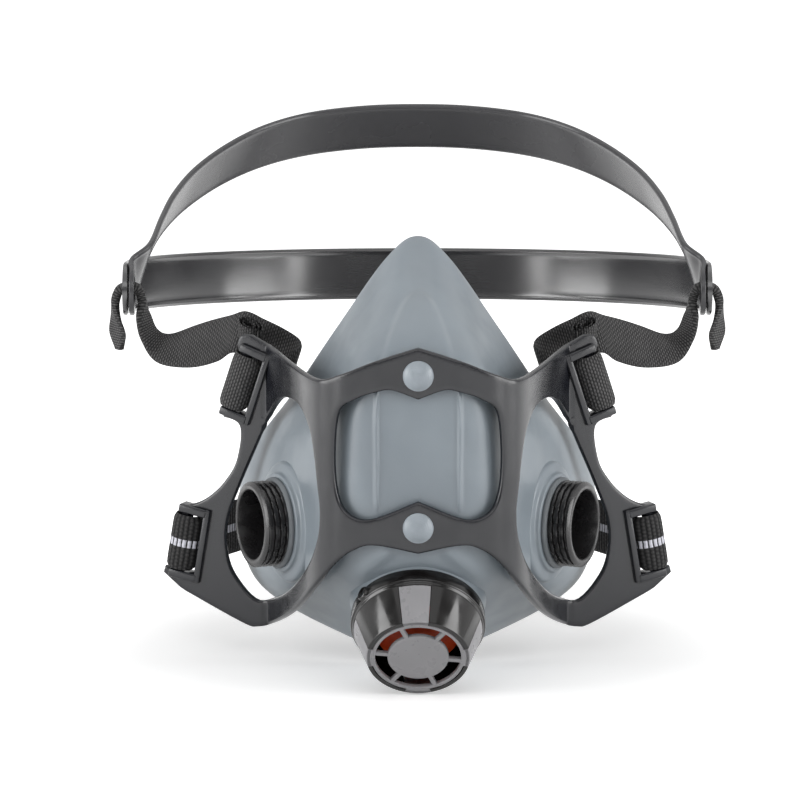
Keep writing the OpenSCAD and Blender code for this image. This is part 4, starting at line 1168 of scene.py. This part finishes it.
crown_path = smooth_line(np.vstack([crown_half, crown_half[-2::-1] * np.tile(mirror_x, 2)]), 12)
nape_rubber = strap_finish("nape_rubber", (0.030, 0.0295, 0.032), (0.026, 0.026, 0.028), 1.0, 0.17)
crown_rubber = strap_finish("crown_rubber", (0.046, 0.0455, 0.049), (0.041, 0.041, 0.044), 0.45, 0.24)
nape = strap("nape_strap_band", nape_path, nape_rubber)
crown = strap("crown_strap_band", crown_path, crown_rubber)
for band in (nape, crown):
    cut(band, eyelets, axes_on((1, 0, 0)), eyelet_r, -120, 120, 48)
fix(nape, "head_harness", "strap_rubber", "nape_strap")
fix(crown, "crown", "strap_rubber", "crown_strap")


# Upper webbing: elastic tape of dark grey yarn. On each side it lies hemmed behind the tab, turns round
# the bar, sags to the strap ends, is gathered through both eyelets and hangs in a short tail.
webbing_t = 1.4
hem_t = 3 * webbing_t
bundle_w = 8.0
bundle_t = 3.2
wrap_r = bar_r + 0.9 + webbing_t / 2
wrap_w = slot_len - 0.9
slot_fill = 1.6
bend_room = 2.6
tail_x = loop_half_w + strap_t / 2 + bend_room
inside_x = crown_half_w - strap_t / 2 - bend_room
upper_axes = tab_axes(upper_tab)


def knot(place, across, width, thick):
    """One row of a webbing route: place, direction of the width, width, thickness."""
    return np.concatenate([place, across, [width, thick]])


def by_tab(tab, out, back, up):
    return tab_place(tab) + np.array([out, back, up]) @ tab_axes(tab)


def tab_wrap(tab, start, end, steps):
    """Knots round a tab's bar between two angles, with zero outwards and 90 towards the wearer.

    The tape swells by the square of the angle's cosine on the slot's side, where it lies double.
    """
    axes = tab_axes(tab)
    angles = np.radians(np.linspace(start, end, steps + 1))
    rounds = np.cos(angles)[:, None] * axes[0] + np.sin(angles)[:, None] * axes[1]
    swell = slot_fill * np.maximum(0, -np.cos(angles))**2
    return [knot(tab_place(tab) + (wrap_r + more / 2) * way, axes[2], wrap_w, webbing_t + more)
            for way, more in zip(rounds, swell)]


ring_spacing = 0.24


def webbing(name, route, finish, rib_pitch, rib_depth, mirror):
    """Woven tape along a route, with its section flat, its edges round and its ribs square to the run."""
    route = even(smooth_line(route, 24), ring_spacing)
    route[:, :3] *= mirror
    route[:, 3:6] *= mirror
    places, across = route[:, :3], unit(route[:, 3:6])
    share = np.linspace(-1, 1, 15)
    thick = np.sqrt(1 - np.abs(share)**8)
    section = np.stack([
        np.concatenate([share, share[-2:0:-1]]), np.concatenate([thick, -thick[-2:0:-1]])], -1)
    rib = rib_depth * np.abs(np.sin(math.pi * lengths(places) / rib_pitch))
    half = np.stack([route[:, 6] / 2, route[:, 7] / 2 - rib_depth / 2 + rib], -1)
    return carried(name, places, across, half[:, None] * section, finish)


def yarn_finish(name, colour, dark, rib_pitch, yarn_pitch, stripe=None):
    """Ribbed weave: ribs square to the run, crossed by yarns that step aside at every other rib. Its colour
    darkens with the weave's height, as painted shade in the hollows.

    Pitches are in millimetres of the UV map, which holds the place across and the length along.
    """
    finish = Finish(bpy.data.materials.new(name))
    tape = finish.node("ShaderNodeUVMap")
    out, along = finish.part(tape, "X"), finish.part(tape, "Y")
    wander = finish.noise(finish.place(), 700.0, 2.0) - 0.5
    turn = along * (math.pi / rib_pitch) + wander * 0.9
    rib = turn.math("SINE").math("ABSOLUTE")
    knuckle = (out * (2 * math.pi / yarn_pitch)).math("SINE") * turn.math("SINE")
    fuzz = finish.noise(finish.place(), 2600.0, 3.0)
    cloud = finish.noise(finish.place(), 160.0, 3.0)
    height = rib * 0.75 + finish.between(knuckle, -0.8, 0.8) * 0.4 + fuzz * 0.4
    # Colour follows the weave's height: painted shade darkens the hollows between ribs and between yarns, and
    # a random cloud and fuzz vary it.
    tone = finish.mix(finish.between(height + cloud * 0.4, 0.75, 1.6), (*dark, 1), (*colour, 1))
    if stripe:
        dash = finish.between(rib, 0.25, 0.6) * finish.between(out.math("ABSOLUTE"), 1.5, 1.2)
        tone = finish.mix(dash, tone, (*stripe, 1))
    return finish.shader(
        Base_Color=tone, Roughness=finish.between(fuzz, 0.3, 0.7, 0.62, 0.85), Specular_IOR_Level=0.3,
        Normal=finish.bump(height, 0.0003, 0.8))


run_start = by_tab(upper_tab, 11, 16.4, 11)
run_end = np.array([inside_x, eyelet_y - 1.5, eyelet_z - 4.5])


def slack(share, sag):
    return run_start + share * (run_end - run_start) - [0, 0, sag]


def tab_knots(rows):
    """Knots by the upper tab from rows: place outwards, backwards and upwards, width, thickness."""
    return [knot(by_tab(upper_tab, *row[:3]), upper_axes[2], *row[3:]) for row in rows]


def hang(tape, stands_for):
    """The tape's place is baked into its mesh, and it stands for a solid."""
    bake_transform(tape)
    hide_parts(stands_for)


upper_rib = 0.9
folded_w = webbing_w - 4
tail_t = webbing_t + 0.7
upper_route = tab_knots([
    [-1.5, 12.5, 2, folded_w, hem_t - webbing_t],
    [1, 9.6, 1.2, folded_w, webbing_t],
    [2.8, 6.2, 0.5, webbing_w - 2, webbing_t]])
upper_route += tab_wrap(upper_tab, 375, 160, 8)
upper_route += tab_knots(
    [*place, folded_w, webbing_t]
    for place in ([-9.5, 9.5, 3.5], [-12.5, 14.5, 8], [-10, 18, 9.5], [-3, 18.6, 10.5], [4, 18, 11]))
upper_route += [
    knot(run_start, upper_axes[2], folded_w + 1, webbing_t),
    knot(slack(0.17, 4.2), [-0.25, 0, 0.95], webbing_w - 2, webbing_t),
    knot(slack(0.5, 10.5), [-0.2, 0.4, 0.85], webbing_w - 3, webbing_t),
    knot(slack(0.78, 14), [-0.35, 0.55, 0.62], webbing_w - 6, webbing_t + 0.3),
    knot(slack(0.93, 11), [-0.5, 0.75, 0.25], bundle_w + 2, webbing_t + 0.8),
    knot(slack(0.99, 5), [-0.4, 0.9, 0], bundle_w + 1, bundle_t - 0.6),
    knot(run_end, [0, 1, -0.3], bundle_w, bundle_t),
    knot([inside_x + 2, eyelet_y, eyelet_z], [0, 1, 0], bundle_w, bundle_t),
    knot([tail_x - 2, eyelet_y, eyelet_z], [0, 1, 0], bundle_w, bundle_t),
    knot([tail_x, eyelet_y, eyelet_z - 4], [0, 1, 0], bundle_w, bundle_t),
    knot([tail_x, eyelet_y, eyelet_z - 10.5], [0.3, 0.95, 0], bundle_w + 2, tail_t),
    knot([tail_x - 0.6, eyelet_y - 0.5, eyelet_z - 16], [0.55, 0.83, 0], bundle_w + 2, tail_t),
    knot([tail_x - 1.2, eyelet_y - 1, eyelet_z - 21.5], [0.5, 0.85, 0], bundle_w / 2, tail_t)]
# The dark colour is the painted shade in the hollows of the weave.
upper_yarn = yarn_finish("upper_yarn", (0.092, 0.090, 0.090), (0.008, 0.008, 0.0085), upper_rib, 1.5)
for side, mirror in mirrors.items():
    tape = webbing(f"{side}_upper_tape", upper_route, upper_yarn, upper_rib, 0.0, mirror)
    hang(tape,
         f"{side}_upper_webbing")


# Upper hems: the spare end of each upper tape, rolled flat above its tab and sewn through. The roll leans
# forward, so that its layers show.
hem_lean = math.radians(35)
hem_w = 9.0
hem_layer_t = 0.62
hem_core_r = 0.75
hem_growth = 0.85
hem_flatness = 1.7
hem_place = by_tab(upper_tab, 5.5, 11.0, 14.2)
hem_back = math.cos(hem_lean) * upper_axes[1] + math.sin(hem_lean) * upper_axes[2]
hem_up = math.cos(hem_lean) * upper_axes[2] - math.sin(hem_lean) * upper_axes[1]
hem_turns = np.linspace(0, 2.6, 48)
hem_r = hem_core_r + hem_growth * hem_turns
hem_out = hem_flatness * hem_r * np.cos(2 * math.pi * hem_turns)
hem_in = hem_r * np.sin(2 * math.pi * hem_turns)
hem_route = [knot(hem_place + out * upper_axes[0] + back * hem_back, hem_up, hem_w, hem_layer_t)
             for out, back in zip(hem_out, hem_in)]
for side, mirror in mirrors.items():
    hem = webbing(f"{side}_upper_hem", hem_route, upper_yarn, upper_rib, 0.0, mirror)
    fix(hem, "mask", "upper_webbing")


# Neck webbing: black ribbed elastic with a white dashed line woven down its middle. It is sewn round the
# lower bar, runs behind the facepiece and turns round the bar of the neck clasp.
clasp = np.array([0, 85.0, -44.0])
clasp_bar_x = 12.0
clasp_bar_r = 1.8
clasp_wrap_r = clasp_bar_r + 0.4 + webbing_t / 2
neck_bend = np.array([
    [0.1, 0.11, 0.1], [0.19, 0.225, 0.2], [0.33, 0.425, 0.4], [0.5, 0.665, 0.6], [0.7, 0.845, 0.85],
    [0.885, 0.94, 1]])
upright = np.array([0, 0, 1.0])
clasp_bar = clasp + [clasp_bar_x, 0, 0]
lower_bar = tab_place(lower_tab)
neck_rib = 1.5
neck_rib_h = 0.24


def neck_knots(places):
    return [knot(place, upright, webbing_w, webbing_t) for place in places]


clasp_wrap = np.radians(np.linspace(-95, -268, 7))
neck_route = [knot(by_tab(lower_tab, 3.5, 8.5, 0), tab_axes(lower_tab)[2], webbing_w, webbing_t)]
neck_route += tab_wrap(lower_tab, 55, -185, 9)
neck_route += neck_knots(lower_bar + neck_bend * (clasp_bar - lower_bar))
neck_route += neck_knots(
    clasp_bar + clasp_wrap_r * np.array([math.cos(angle), math.sin(angle), 0]) for angle in clasp_wrap)
neck_route += neck_knots(clasp_bar + [[6.5, 2, 0], [14, -1.5, 0]])
# The dark colour is the painted shade in the hollows of the weave; the white stripe is the tape's own
# pattern.
neck_yarn = yarn_finish(
    "neck_yarn", (0.036, 0.035, 0.035), (0.006, 0.006, 0.0065), neck_rib, 1.4, stripe=(0.60, 0.60, 0.66))
for side, mirror in mirrors.items():
    tape = webbing(f"{side}_neck_tape", neck_route, neck_yarn, neck_rib, neck_rib_h, mirror)
    hang(tape, f"{side}_neck_webbing")


# Neck clasp: two black moulded frames. The hook's tongue passes behind the loop's end bar and snaps
# down into its window.
clasp_plastic = moulded_finish(
    "clasp_plastic", (0.024, 0.024, 0.025), (0.016, 0.016, 0.017), 0.36, 80.0, 2400.0, 0.4)
for name in ("neck_hook", "neck_loop"):
    clasp_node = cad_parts[name]
    clasp_node.data.materials.clear()
    clasp_node.data.materials.append(clasp_plastic)
    weld = clasp_node.modifiers.new("weld", "WELD")
    weld.merge_threshold = 0.01 * MM
    bevel = clasp_node.modifiers.new("edges", "BEVEL")
    bevel.width = 0.4 * MM
    bevel.segments = 3
    bevel.limit_method = "ANGLE"
    bevel.angle_limit = math.radians(35)
